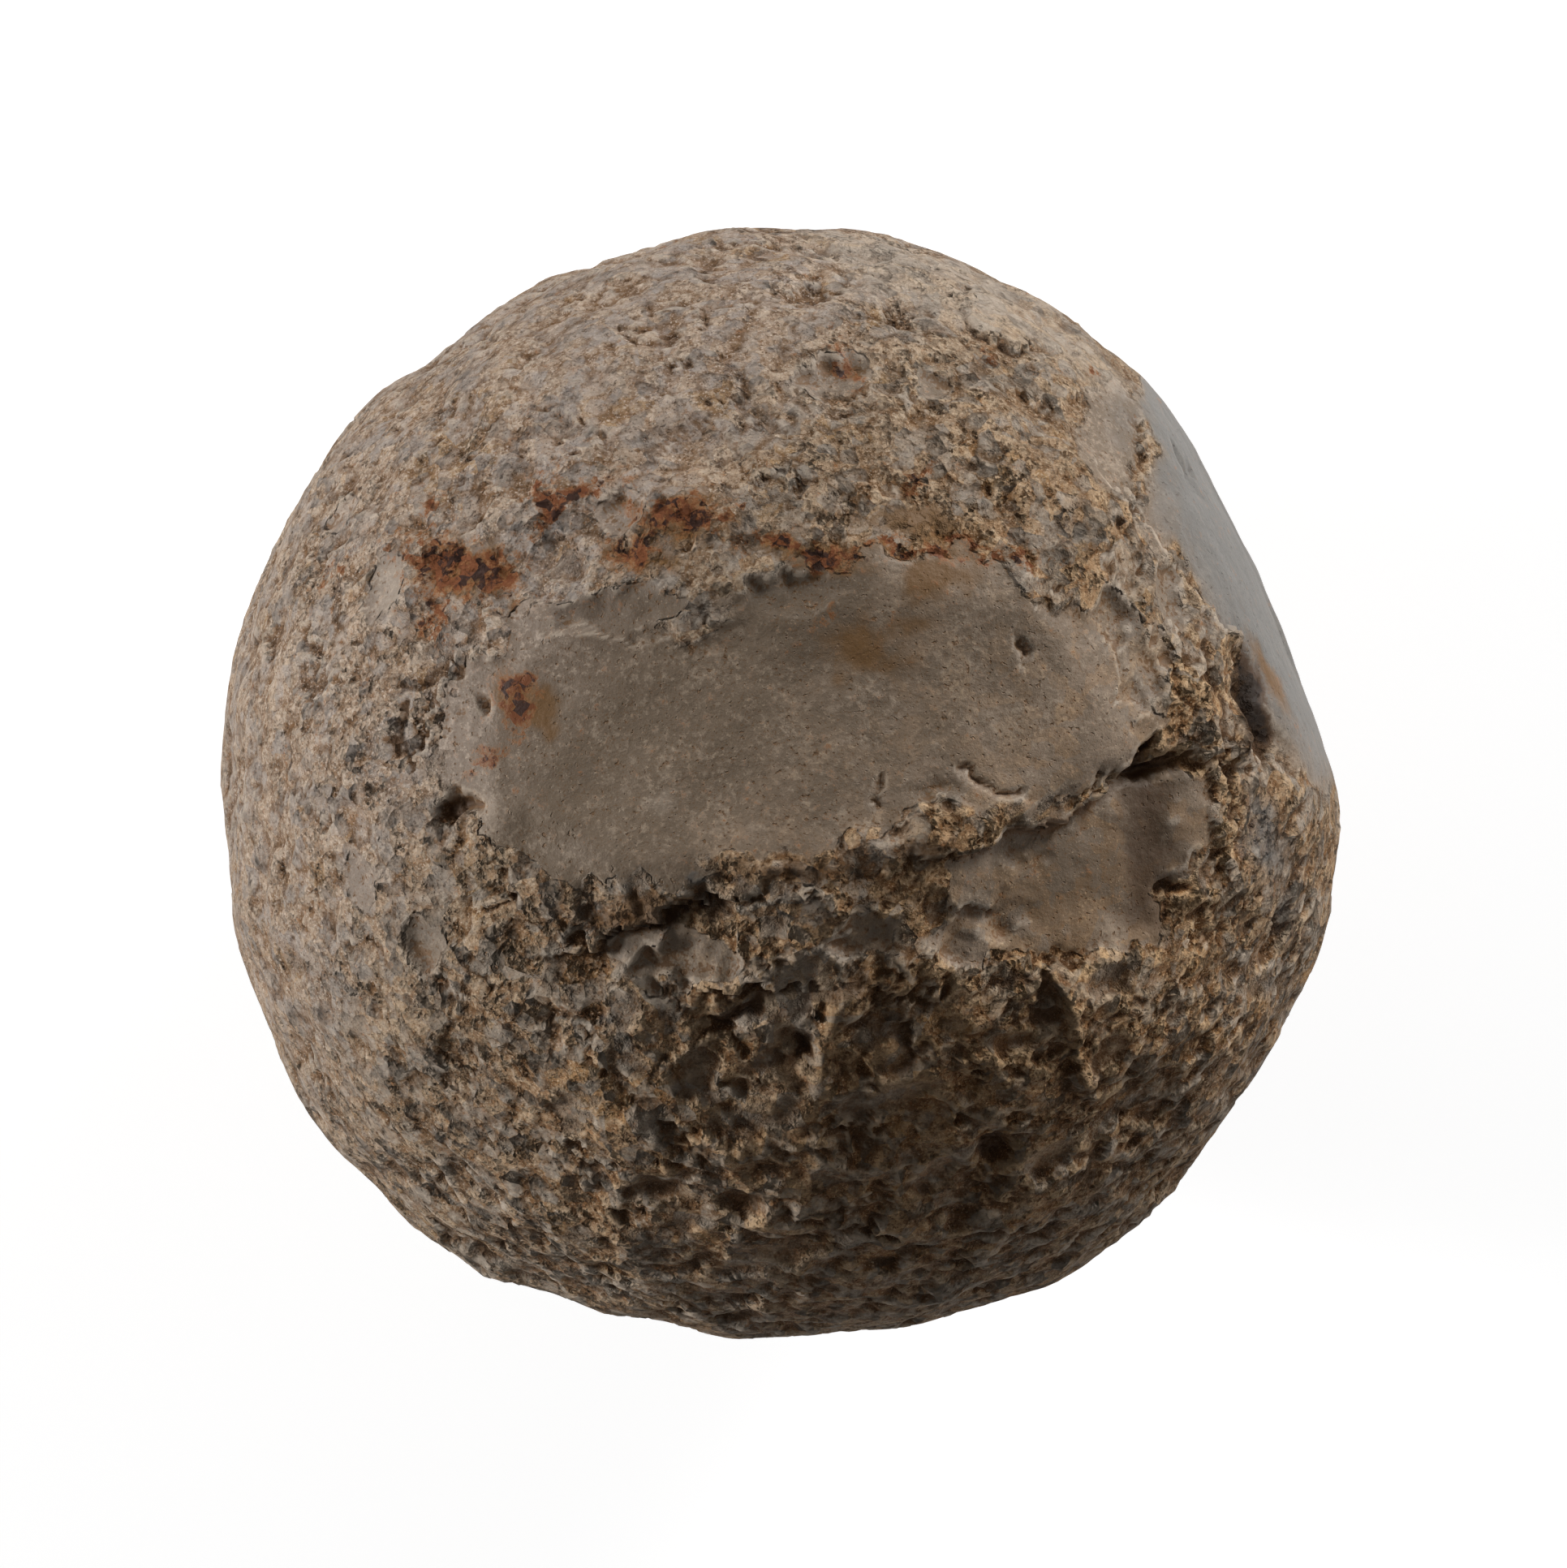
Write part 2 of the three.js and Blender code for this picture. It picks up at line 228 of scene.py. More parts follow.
def line_distance(line, places, run=1.0):
    """Distance in plan from some places to a broken line, whether each is right of it, and its pull on each.

    The pull falls off over the run beside the line, and towards the line's ends.
    """
    nearest = np.full(len(places), np.inf)
    right = np.zeros(len(places), bool)
    pull = np.zeros(len(places))
    length = sum(math.dist(start, end) for start, end in zip(line, line[1:]))
    passed = 0.0
    for start, end in zip(line, line[1:]):
        step = np.subtract(end, start)
        offset = places - start
        share = np.clip(offset @ step / (step @ step), 0, 1)
        apart = np.linalg.norm(offset - share[:, None] * step, axis=1)
        closer = apart < nearest
        nearest[closer] = apart[closer]
        right[closer] = (step[0] * offset[:, 1] - step[1] * offset[:, 0] < 0)[closer]
        along = (passed + share * np.linalg.norm(step)) / length
        hold = np.clip(np.minimum(along, 1 - along) / LINE_TAPER, 0, 1)
        pull = np.maximum(pull, np.exp(-apart / run) * hold)
        passed += np.linalg.norm(step)
    return nearest, right, pull


def inside_rim(rim, places):
    """Whether each place lies within a closed rim in plan."""
    inside = np.zeros(len(places), bool)
    for start, end in zip(rim, rim[1:] + rim[:1]):
        spans = (start[1] > places[:, 1]) != (end[1] > places[:, 1])
        slope = (end[0] - start[0]) / ((end[1] - start[1]) or 1)
        inside ^= spans & (places[:, 0] < start[0] + slope * (places[:, 1] - start[1]))
    return inside


fray = sum(push * sway(nodule_points, spacing, seed)[:, :2] for spacing, push, seed in FRAY)
fray *= np.maximum(ways[:, 2:], 0)
frayed_plan = nodule_points[:, :2] + fray
scar_waves = sum(height * ripple(nodule_points, spacing, seed) for spacing, height, seed in SCAR_WAVES)
for bearing, tilt, inset, level_bow, steep_bow, spin, rim in SCARS:
    facing = way(bearing, tilt)
    flat_level = np.cross((0.0, 0.0, 1.0), facing)
    flat_level /= np.linalg.norm(flat_level)
    flat_steep = np.cross(facing, flat_level)
    spin = math.radians(spin)
    level = flat_level * math.cos(spin) + flat_steep * math.sin(spin)
    steep = np.cross(facing, level)
    distance = np.linalg.norm(facing * (STONE_WIDTH / 2, STONE_DEPTH / 2, CROWN_HEIGHT)) - inset
    towards = ways @ facing
    bend = (ways @ level) ** 2 / (2 * level_bow) + (ways @ steep) ** 2 / (2 * steep_bow)
    root = towards**2 + 4 * bend * distance
    hit = (towards > 0) & (root > 0)
    bed = np.where(hit, 2 * distance / (towards + np.sqrt(np.maximum(root, 0))), np.inf) + scar_waves
    if rim:
        apart, _, _ = line_distance(rim + rim[:1], frayed_plan)
        within = inside_rim(rim, frayed_plan) & on_crown
        bed += np.where(on_crown, RIM_WALL * np.where(within, 0, apart), np.inf)
        fresh[within] = 1
    else:
        fresh = np.maximum(fresh, np.clip((skin - bed) / FRESH_OVER, 0, 1))
    skin = np.minimum(skin, bed)

# The battering. Every blow against another stone bursts off a small chip or bruises the flint to packed
# grains, and thousands of them overlap. It has eaten into the rims of the smooth scars and crushed the tops
# between the dents level. It is coarser low on the photographed side and finer at its left.
GREAT_CHIPS = 72
GREAT_CHIP_LENGTH = (2.6, 5.0)
GREAT_CHIP_WIDTH = (0.55, 0.95)
GREAT_CHIP_DEPTH = (0.2, 0.55)
GREAT_CHIP_LEAN = 8
GREAT_CHIP_STRAY = 0.8
GREAT_CHIP_GLOSS = 0.3
CHIP_HOLLOW = 0.9
CHIP_WALL = 0.5
DENTS = [
    # spacing, hollow, lean, seed
    (3.4, 0.08, 0.10, 30),
    (1.9, 0.07, 0.12, 40),
    (1.15, 0.05, 0.13, 50),
]
CHIPS = [
    # count, half length from and to, depth as a share of it, lean to, hollow, wall, share left glossy
    (260, 1.5, 2.8, 0.06, 11, 0.9, 0.5, 0.4),
    (900, 0.9, 1.7, 0.045, 11, 0.6, 0.6, 0.4),
    (1500, 0.5, 0.9, 0.05, 9, 0.6, 0.6, 0.35),
]
CHIPS_RISE = 22
CHIP_WIDTH = (0.5, 1)
CHIP_DEPTH = (0.4, 1.5)
CHIP_GLOSS = 0.45
CHIP_FRAY = 0.3
CHIP_FRAY_SPACING = 2.4
CHIP_REACH = 1.3
CHIP_MARGIN = 0.8
LEAST_FACING = 0.3
SLENDER_FROM = 0.9
MOST_SLENDER = 0.4
SLENDER_STEADINESS = 1.6
PLAIN_COARSENESS = 0.75
COARSER_TO_RIGHT = 0.45
COARSER_TO_FRONT = 0.9
COARSER_FROM = 0.1
COARSE_OFF_OUTLINE = 0.4
FINER_TO_LEFT = 0.25
FINER_FROM = 0.35
DENT_FRAY = 0.16
DENT_FRAY_SPACING = 1.2
SHORTEST_FRAY = 1.3
SCARS_SPARED = 0.95
MOST_BRUISED = 1.1
BRUISE_SPACING = 7
BRUISE_MEAN = 0.65
BRUISE_SWING = 0.5
BRUISE_RANGE = (0.15, 1.4)
CRUSHED_TOP = 0.05
CRUSHED_SHARE = 0.25
COARSE_SPARED = 0.4
CRUSHED_OVER = 60
frayed_points = nodule_points + CHIP_FRAY * sway(nodule_points, CHIP_FRAY_SPACING, 20)


def coarseness(towards):
    """How coarse the battering is in some directions."""
    right, back = towards[..., 0], towards[..., 1]
    coarser = np.maximum(0, COARSER_TO_RIGHT * right - COARSER_TO_FRONT * back - COARSER_FROM)
    coarser *= np.minimum(1, np.abs(towards[..., 2]) / COARSE_OFF_OUTLINE)
    return PLAIN_COARSENESS + coarser - FINER_TO_LEFT * np.maximum(0, -right - FINER_FROM)


def tree_of(points):
    """A tree that finds the nearest of some points."""
    tree = kdtree.KDTree(len(points))
    for index, point in enumerate(points):
        tree.insert(point, index)
    tree.balance()
    return tree


def random_ways(draw, count):
    """Unit directions drawn evenly over the whole ball."""
    towards = draw.normal(size=(count, 3))
    return towards / np.linalg.norm(towards, axis=1, keepdims=True)


def layer_of_dents(spacing, hollow, lean, seed):
    """Height of dents side by side. Each leans its own way, with a crest where it meets the next one."""
    draw = np.random.RandomState(seed)
    count = int(4 * math.pi * (STONE_WIDTH / 2 / spacing) ** 2)
    middles = random_ways(draw, count)
    middles *= nodule_reach(middles)[:, None]
    tree = tree_of(middles)
    fray_spacing = max(DENT_FRAY_SPACING * spacing, SHORTEST_FRAY)
    spots = nodule_points + DENT_FRAY * spacing * sway(nodule_points, fray_spacing, seed + 1)
    nearest = np.array([tree.find(spot)[1] for spot in spots])
    offset = spots - middles[nearest]
    leans = draw.normal(size=(count, 3))[nearest] * lean
    hollows = draw.uniform(0.5, 1.5, size=count)[nearest] * hollow
    return (offset * leans).sum(axis=1) + hollows * ((offset**2).sum(axis=1) / spacing - spacing / 3)


lookup = tree_of(nodule_points)


def strike(towards, long, wide, turn, depth, lean, lean_to, hollow, wall, before, gloss, shade=0.3):
    """Bursts off one chip: a leaning, hollow flake bed, depth mm below the skin before the blow.

    The bed climbs by hollow times its depth from its middle to its rim, and by wall mm per mm beyond it.
    """
    middle = nodule_reach(towards) * towards
    level = np.cross((0.0, 1.0, 0.0) if abs(towards[1]) < 0.9 else (0.0, 0.0, 1.0), towards)
    level /= np.linalg.norm(level)
    steep = np.cross(towards, level)
    found = lookup.find_range(middle, CHIP_REACH * max(long, wide) + CHIP_MARGIN)
    if not found:
        return
    near = np.array([corner for _, corner, _ in found])
    centre = before[near[np.argmin([gap for _, _, gap in found])]]
    offset = frayed_points[near] - middle
    across, up = offset @ level, offset @ steep
    turn, lean_to = math.radians(turn), math.radians(lean_to)
    along = across * math.cos(turn) + up * math.sin(turn)
    aside = up * math.cos(turn) - across * math.sin(turn)
    reach = np.sqrt((along / long) ** 2 + (aside / wide) ** 2)
    tip = math.radians(lean)
    facing = towards * math.cos(tip) + (level * math.cos(lean_to) + steep * math.sin(lean_to)) * math.sin(tip)
    height = (centre - depth) * (towards @ facing)
    bed = height / np.maximum(ways[near] @ facing, LEAST_FACING)
    bed += hollow * depth * reach**2 + wall * np.maximum(reach - 1, 0) * min(long, wide)
    cut = bed < skin[near]
    fresh[near[cut]] = gloss
    tone[near[cut]] = shade
    skin[near[cut]] = bed[cut]


def fraction(value):
    """The part of a number after its point, which spreads step after step evenly between 0 and 1."""
    return value - math.floor(value)


def great_chip(index, before):
    """Bursts off one of the largest chips, whose sizes step evenly through their ranges."""
    rise = 1 - (2 * index + 1) / GREAT_CHIPS
    turn = GOLDEN_TURN * index + GREAT_CHIP_STRAY * fraction(0.445042 * index)
    level = math.sqrt(1 - rise**2)
    towards = np.array([level * math.cos(turn), level * math.sin(turn), rise])
    shortest, longest = GREAT_CHIP_LENGTH
    narrowest, widest = GREAT_CHIP_WIDTH
    shallowest, deepest = GREAT_CHIP_DEPTH
    long = shortest + (longest - shortest) * fraction(0.754878 * index)
    wide = long * (narrowest + (widest - narrowest) * fraction(0.56984 * index))
    depth = shallowest + (deepest - shallowest) * fraction(0.324718 * index)
    _, corner, _ = lookup.find(nodule_reach(towards) * towards)
    if left_smooth[corner] < 0.5:
        strike(
            towards, long, wide, 180 * fraction(0.618034 * index), depth,
            GREAT_CHIP_LEAN * fraction(0.869837 * index), 360 * fraction(0.445042 * index),
            CHIP_HOLLOW, CHIP_WALL, before, GREAT_CHIP_GLOSS, fraction(0.7071 * index),
        )


coarse = coarseness(ways)
left_smooth = spread(fresh, rounds=12)
before = skin.copy()
for index in range(GREAT_CHIPS):
    great_chip(index, before)
crusted = coarse * (1 - spread(fresh, rounds=3))
skin += crusted * layer_of_dents(*DENTS[0])
draw = np.random.RandomState(11)
for count, shortest, longest, depth_share, most_lean, hollow, wall, glossy in CHIPS:
    before = spread(skin, rounds=2)
    for towards in random_ways(draw, count):
        roughness = float(coarseness(towards))
        long = draw.uniform(shortest, longest) * roughness
        slender = np.clip(roughness - SLENDER_FROM, 0, MOST_SLENDER)
        turn = draw.uniform(-90, 90) * (1 - SLENDER_STEADINESS * slender) + CHIPS_RISE
        blow = (
            towards, long * (1 + slender), long * draw.uniform(*CHIP_WIDTH) * (1 - slender), turn,
            long * roughness * depth_share * draw.uniform(*CHIP_DEPTH), draw.uniform(0, most_lean),
            draw.uniform(0, 360), hollow, wall, before, CHIP_GLOSS * float(draw.uniform() < glossy),
            draw.uniform(),
        )
        _, corner, _ = lookup.find(nodule_reach(towards) * towards)
        if draw.uniform() > left_smooth[corner]:
            strike(*blow)
off_scars = 1 - SCARS_SPARED * spread(fresh, rounds=1)
bruises = np.clip(BRUISE_MEAN + BRUISE_SWING * ripple(nodule_points, BRUISE_SPACING, 25), *BRUISE_RANGE)
bruised = np.minimum(coarse, MOST_BRUISED) * off_scars * bruises
for dents in DENTS[1:]:
    skin += bruised * layer_of_dents(*dents)
level_ground = spread(skin, CRUSHED_OVER)
raised = skin - level_ground
top = CRUSHED_TOP * coarse
kept_share = CRUSHED_SHARE + COARSE_SPARED * np.clip(coarse - 1, 0, 1)
skin = level_ground + np.where(raised > top, top + (raised - top) * kept_share, raised)

# The broken edges and hollows of the crown, read off in plan. Some places are worn even or crumbled up, and
# single chips are burst off. A ledge drops to the right of its line and climbs back over its run, a groove is
# a crack, a ridge a thin crest and a pit a deep hole.
WORN = [
    # plan middle, half length, half width, turn, strength, gloss
    (20.5, -5.6, 7.6, 3.8, 12, 1.0, 1.0),
    (25.8, -2.6, 3.0, 3.4, 0, 1.0, 1.0),
    (34.3, 4.0, 5.5, 1.7, -58, 1.0, 1.0),
    (31.5, 11.5, 6.5, 2.0, -63, 1.0, 1.0),
    (-22.8, -1.0, 2.2, 5.0, 0, 0.7, 0.2),
    (-25.0, 5.0, 2.4, 6.0, -10, 0.6, 0.2),
    (28.2, 4.5, 1.6, 5.0, 10, 0.8, 0.0),
    (32, -3.5, 2.6, 3.6, 0, 0.5, 0.0),
    (22.6, 7.6, 2.4, 4.2, 20, 0.9, 0.9),
    (9, 12.6, 5.5, 1.8, 0, 0.8, 1.0),
    (22.0, 22.6, 2.0, 4.2, -8, 1.0, 1.0),
    (25.8, 18.6, 1.5, 5.0, -14, 1.0, 1.0),
    (9.5, 16.4, 3.6, 1.0, -4, 0.9, 0.7),
    (31.2, 4.6, 4.0, 1.2, -74, 0.7, 0.0),
]
CRUMBLED = [
    # plan middle, half length, half width, turn, height
    (-5.2, 10.4, 3.0, 1.9, 12, 0.35),
    (-1.0, 12.8, 2.0, 1.0, 0, 0.3),
    (11.5, -3.0, 4.5, 1.1, 12, 0.25),
    (16.5, 12.6, 2.5, 1.2, -30, 0.3),
    (-18.5, 9.2, 1.6, 1.4, 0, 0.3),
    (-1.5, -5.2, 3.5, 0.7, 5, 0.2),
]
PLACED_CHIPS = [
    # plan middle, half length, half width, turn, depth, lean, lean to, hollow, wall, glossy
    (-5.2, -11.4, 3.3, 1.7, 12, 0.55, 7, 250, 0.6, 1.2, 1.0),
    (-8.8, -10.4, 2.2, 1.0, 25, 0.35, 12, 110, 0.4, 1.2, 1.0),
    (12.8, -10.6, 1.9, 1.4, -20, 0.5, 8, 200, 1.0, 0.9, 1.0),
    (22.2, -12.9, 2.3, 1.3, 5, 0.7, 10, 300, 0.8, 1.0, 0.5),
    (1.5, -12.6, 1.9, 1.0, 35, 0.35, 18, 310, 0.2, 1.2, 0.5),
    (0.9, -15.0, 3.4, 1.0, 27, 0.4, 22, 120, 0.2, 1.0, 0.5),
    (15.4, -17, 1.8, 1.1, 10, 0.8, 14, 270, 1.0, 0.8, 0.5),
    (22, -17.6, 1.6, 1.4, 60, 0.8, 12, 250, 1.0, 0.8, 0.5),
    (23.2, -19.6, 1.1, 0.8, 0, 0.7, 10, 250, 1.0, 0.8, 0.5),
    (5.2, -21.2, 2.0, 1.5, 30, 0.75, 12, 280, 1.0, 0.8, 0.5),
    (-5, -19.4, 1.4, 1.8, 0, 0.6, 20, 0, 0.4, 1.2, 0.5),
    (-1.6, -20, 1.2, 1.0, 0, 0.6, 12, 250, 1.0, 0.8, 0.5),
    (-7, -26.7, 2.3, 1.5, 10, 0.8, 14, 260, 1.0, 0.8, 0.5),
    (-2.4, -27.6, 1.8, 1.3, 0, 0.8, 14, 280, 1.0, 0.8, 0.5),
    (17.4, -29.6, 1.8, 1.2, 30, 0.8, 12, 300, 1.0, 0.8, 0.4),
    (-2, -32, 2.6, 1.0, 3, 0.5, 8, 270, 0.5, 1.0, 0.5),
    (3.8, 26, 2.0, 1.3, 20, 0.3, 6, 90, 0.6, 0.8, 1.0),
    (10.6, 25.6, 1.5, 1.1, 60, 0.3, 6, 60, 0.6, 0.8, 0.9),
    (-24.7, 12.7, 1.9, 2.3, 0, 0.35, 5, 180, 0.5, 0.8, 1.0),
    (-28.3, 17.2, 1.2, 1.7, 30, 0.3, 6, 160, 0.6, 0.8, 0.9),
    (-10.5, 16.7, 1.8, 1.3, 20, 0.5, 12, 60, 0.8, 1.0, 0.8),
    (1, 11.5, 3.0, 1.5, 8, 0.35, 6, 280, 0.8, 0.9, 1.0),
    (-10, 10.6, 4.2, 1.6, 8, 0.4, 4, 270, 0.6, 1.0, 1.0),
    (28.6, 20.5, 1.6, 2.2, -30, 0.4, 5, 20, 0.6, 0.8, 1.0),
    (-26.5, -6.5, 1.8, 2.2, 0, 0.4, 8, 180, 0.8, 0.8, 0.8),
    (-22.2, -10.2, 2.2, 1.5, 60, 0.4, 8, 200, 0.8, 0.8, 0.8),
    (21.4, 9.6, 2.4, 1.5, 40, 0.3, 6, 20, 0.6, 0.9, 1.0),
    (24.2, 7.0, 2.4, 1.4, 60, 0.35, 8, 20, 0.6, 0.9, 0.9),
    (23.0, 4.6, 1.8, 1.2, 30, 0.3, 8, 10, 0.6, 0.9, 1.0),
    (26.0, 11.5, 2.4, 1.2, 70, 0.35, 8, 20, 0.6, 0.9, 0.8),
    (16.2, -8.6, 2.2, 1.3, 30, 0.35, 8, 250, 0.6, 0.9, 1.0),
    (6.4, -9.8, 2.0, 1.4, 10, 0.4, 8, 240, 0.6, 0.9, 0.9),
    (-9.4, -14.5, 1.8, 1.1, 60, 0.35, 10, 200, 0.6, 0.9, 0.5),
    (1.2, -16.9, 1.5, 1.1, 0, 0.4, 10, 260, 0.6, 0.9, 0.5),
    (8.4, -20.6, 2.6, 1.2, 20, 0.6, 12, 280, 0.6, 0.9, 0.5),
    (10.4, -26.0, 2.0, 1.5, 40, 0.5, 10, 300, 0.6, 0.9, 0.5),
    (18.2, -24.4, 2.0, 1.4, 50, 0.5, 10, 300, 0.6, 0.9, 0.5),
    (-13.6, -21.2, 1.6, 1.0, 70, 0.35, 10, 220, 0.6, 0.9, 0.5),
]
LEDGES = [
    # line, drop, run
    ([(12, -4.9), (14.5, -4.2), (17, -3.2), (18.5, -2.5), (21.5, -1), (23.3, 1.2), (25, 1.9), (27, 1.6)],
     1.6, 4.5),
    ([(-12.8, -10.8), (-11, -10.2), (-8.5, -9.5), (-6, -8.6), (-4, -8.1), (-2, -7.2)], 1.4, 2.6),
    ([(-20.6, 8.6), (-21.9, 5.4), (-22.8, 2.8), (-23.8, 0.2)], 0.6, 0.9),
    ([(-4.5, 7.5), (-6.5, 8.5), (-9.2, 8.5), (-11.5, 9.8), (-13.7, 9.8), (-14.9, 8.9)], 0.22, 4),
    ([(34.3, 3.5), (30.5, 8.9), (27.8, 12.2), (23.5, 17.5), (20.3, 21.8)], 0.6, 3),
    ([(25, 3), (23.9, 4.6), (21.9, 5.2), (22.5, 8), (21, 10.2)], 0.25, 3),
    ([(12.3, 31), (13.4, 29.4), (15.5, 28.4), (17.5, 28.2)], 0.8, 2.2),
    ([(23.9, 24.5), (24, 22), (24.7, 19.7)], 0.5, 1.5),
    ([(-5, -13.4), (-3, -14.1), (-0.5, -13.6), (2, -14.6), (4, -13.2)], 0.9, 1.8),
    ([(10.2, -7.6), (11.4, -8.6), (13.4, -8.2), (15, -9)], 0.6, 1.8),
    ([(25.4, -8.2), (26.2, -6.4), (27.4, -5.4), (28.6, -4.4)], 0.6, 1.4),
    ([(-19.6, -8.4), (-18.4, -7.8), (-17, -7.7), (-16.1, -8.2)], 0.7, 1.2),
]
GROOVES = [
    # line, half width, depth
    ([(12.4, 0.5), (13, -0.3), (14.6, -0.8), (15.6, -1.2)], 0.28, 0.45),
    ([(15.9, 8.9), (16.8, 7.5)], 0.32, 0.6),
    ([(-24.1, 5), (-24.2, 3), (-23.6, 1)], 0.4, 0.35),
    ([(24.9, -1.0), (25.1, -5), (24.7, -8.5)], 2.8, 0.6),
    ([(28, 8.5), (29.3, 5), (29.5, 1), (30.3, -4)], 0.4, 0.35),
    ([(-3.5, -16), (-0.5, -14.9)], 0.4, 0.6),
    ([(14.2, -13.5), (17.2, -13), (17.6, -15.5)], 0.5, 0.5),
]
RIDGES = [
    # line, half width, height
    ([(17.9, -12.5), (19, -15), (19.8, -17), (20.2, -20)], 0.9, 0.7),
    ([(-4.4, -7.7), (-1, -8.3), (2, -7.8), (7.4, -8.4)], 0.45, 0.35),
    ([(5, 5.3), (7, 4.9)], 0.3, 0.12),
    ([(-1.7, -12.4), (4.7, -10.2)], 0.5, 0.4),
    ([(30, 9.4), (30.9, 6.8), (30.4, 3.2), (30.1, 1.2)], 0.45, 1.0),
    ([(27.2, 7.1), (28.6, 2.6), (29.7, -2.4), (29.8, -6.5)], 0.45, 0.8),
    ([(25.7, 10), (26.9, 6.2), (28.6, 0.3), (29.2, -4.2)], 0.4, 0.6),
    ([(24.2, 9.4), (25.9, 5.5), (27, 3)], 0.4, 0.45),
    ([(-8.6, -22), (-3, -24.2), (3, -24), (9, -25.6)], 1.2, 0.5),
]
PITS = [
    # plan middle, half length, half width, turn, depth
    (31.5, 4.8, 3.6, 1.1, -74, 2.2),
    (24.9, 0.8, 2.3, 0.9, 12, 1.3),
    (-20, -1.6, 1.1, 0.6, 0, 1.1),
    (-18.8, 5, 0.6, 0.45, 60, 0.7),
    (6.5, -1.1, 0.4, 0.3, 0, 0.4),
    (1.7, -17.8, 0.9, 0.8, 20, 1.1),
    (1.7, -18, 2.0, 1.7, 20, 0.6),
    (14.6, -23.8, 1.6, 1.1, 40, 1.4),
    (26.5, -7.4, 0.9, 0.6, 20, 0.8),
    (-4.7, -7.7, 1.1, 0.7, 20, 0.8),
    (-0.7, -14.2, 0.7, 0.5, 30, 0.7),
    (10.7, -1.2, 1.7, 0.9, -8, 0.3),
    (-20.2, -3.6, 1.9, 0.8, 75, 0.35),
]
EVENED_OVER = 80
CREVICE_SHADE_HALF_WIDTH = 0.6
GROOVE_DIRT_AND_SHADE = 0.8


def place_on_crown(x, y):
    """The unit direction of a place that is read off in plan."""
    rise = CROWN_HEIGHT * math.sqrt(max(0.0, 1 - (x / STONE_WIDTH * 2) ** 2 - (y / STONE_DEPTH * 2) ** 2))
    return np.array([x, y, rise]) / math.hypot(x, y, rise)


def reach_in_plan(x, y, long, wide, turn, places):
    """How far each place lies from the middle of an ellipse in plan, as a share of its half size."""
    turn = math.radians(turn)
    offset = places - (x, y)
    along = offset[:, 0] * math.cos(turn) + offset[:, 1] * math.sin(turn)
    aside = offset[:, 1] * math.cos(turn) - offset[:, 0] * math.sin(turn)
    return np.sqrt((along / long) ** 2 + (aside / wide) ** 2)


# Dark soil in the crevices, partly painted shade: a band at the foot of each ledge, in the grooves and in the
# pits, where shadow falls.
crevice_soil_and_painted_shade = np.zeros(CORNERS)
frayed_plan = (ways * skin[:, None])[:, :2] + fray
evened = spread(skin, EVENED_OVER)
for x, y, long, wide, turn, strength, gloss in WORN:
    share = strength * np.exp(-(reach_in_plan(x, y, long, wide, turn, frayed_plan) ** 4)) * on_crown
    skin += share * (evened - skin)
    fresh += share * (gloss - fresh)
    tone += share * (MIDDLE_TONE - tone)
for x, y, long, wide, turn, height in CRUMBLED:
    share = np.exp(-(reach_in_plan(x, y, long, wide, turn, frayed_plan) ** 4)) * on_crown
    fresh *= 1 - share
    skin += share * (height + layer_of_dents(*DENTS[1]))
before = spread(skin, rounds=2)
for x, y, long, wide, turn, depth, lean, lean_to, hollow, wall, gloss in PLACED_CHIPS:
    strike(place_on_crown(x, y), long, wide, turn, depth, lean, lean_to, hollow, wall, before, gloss)
for line, drop, run in LEDGES:
    apart, low, pull = line_distance(line, frayed_plan, run)
    fall = np.where(low & on_crown, drop * pull, 0)
    skin -= fall
    crevice_soil_and_painted_shade = np.maximum(crevice_soil_and_painted_shade, np.minimum(fall, 1) * np.exp(-((apart / CREVICE_SHADE_HALF_WIDTH) ** 2)))
for line, half_width, depth in GROOVES:
    apart, _, _ = line_distance(line, frayed_plan)
    crack = np.exp(-((apart / half_width) ** 2)) * on_crown
    skin -= depth * crack
    crevice_soil_and_painted_shade = np.maximum(crevice_soil_and_painted_shade, GROOVE_DIRT_AND_SHADE * crack)
for line, half_width, height in RIDGES:
    apart, _, _ = line_distance(line, frayed_plan)
    skin += height * np.clip(1 - apart / half_width, 0, 1) * on_crown
for x, y, long, wide, turn, depth in PITS:
    hole = np.exp(-(reach_in_plan(x, y, long, wide, turn, frayed_plan) ** 3)) * on_crown
    skin -= depth * hole
    crevice_soil_and_painted_shade = np.maximum(crevice_soil_and_painted_shade, min(depth, 1.0) * hole**2)

# The worn flat under the stone, where it rests. The finished skin goes back into the mesh here, in metres,
# with the stone's middle over the origin.
MM = 0.001
SEAT_INSET = 1.6
points = ways * skin[:, None]
frayed_plan = points[:, :2] + fray
seat = SEAT_INSET - BASE_HEIGHT
points[:, 2] = np.maximum(points[:, 2], seat)
middle = (points.max(axis=0) + points.min(axis=0)) / 2
points -= (middle[0], middle[1], seat)
stone_mesh.vertices.foreach_set("co", (points * MM).ravel())
stone_mesh.update()
stone_mesh.polygons.foreach_set("use_smooth", np.ones(len(stone_mesh.polygons), bool))
stone = bpy.data.objects.new("flint_nodule", stone_mesh)
bpy.context.scene.collection.objects.link(stone)
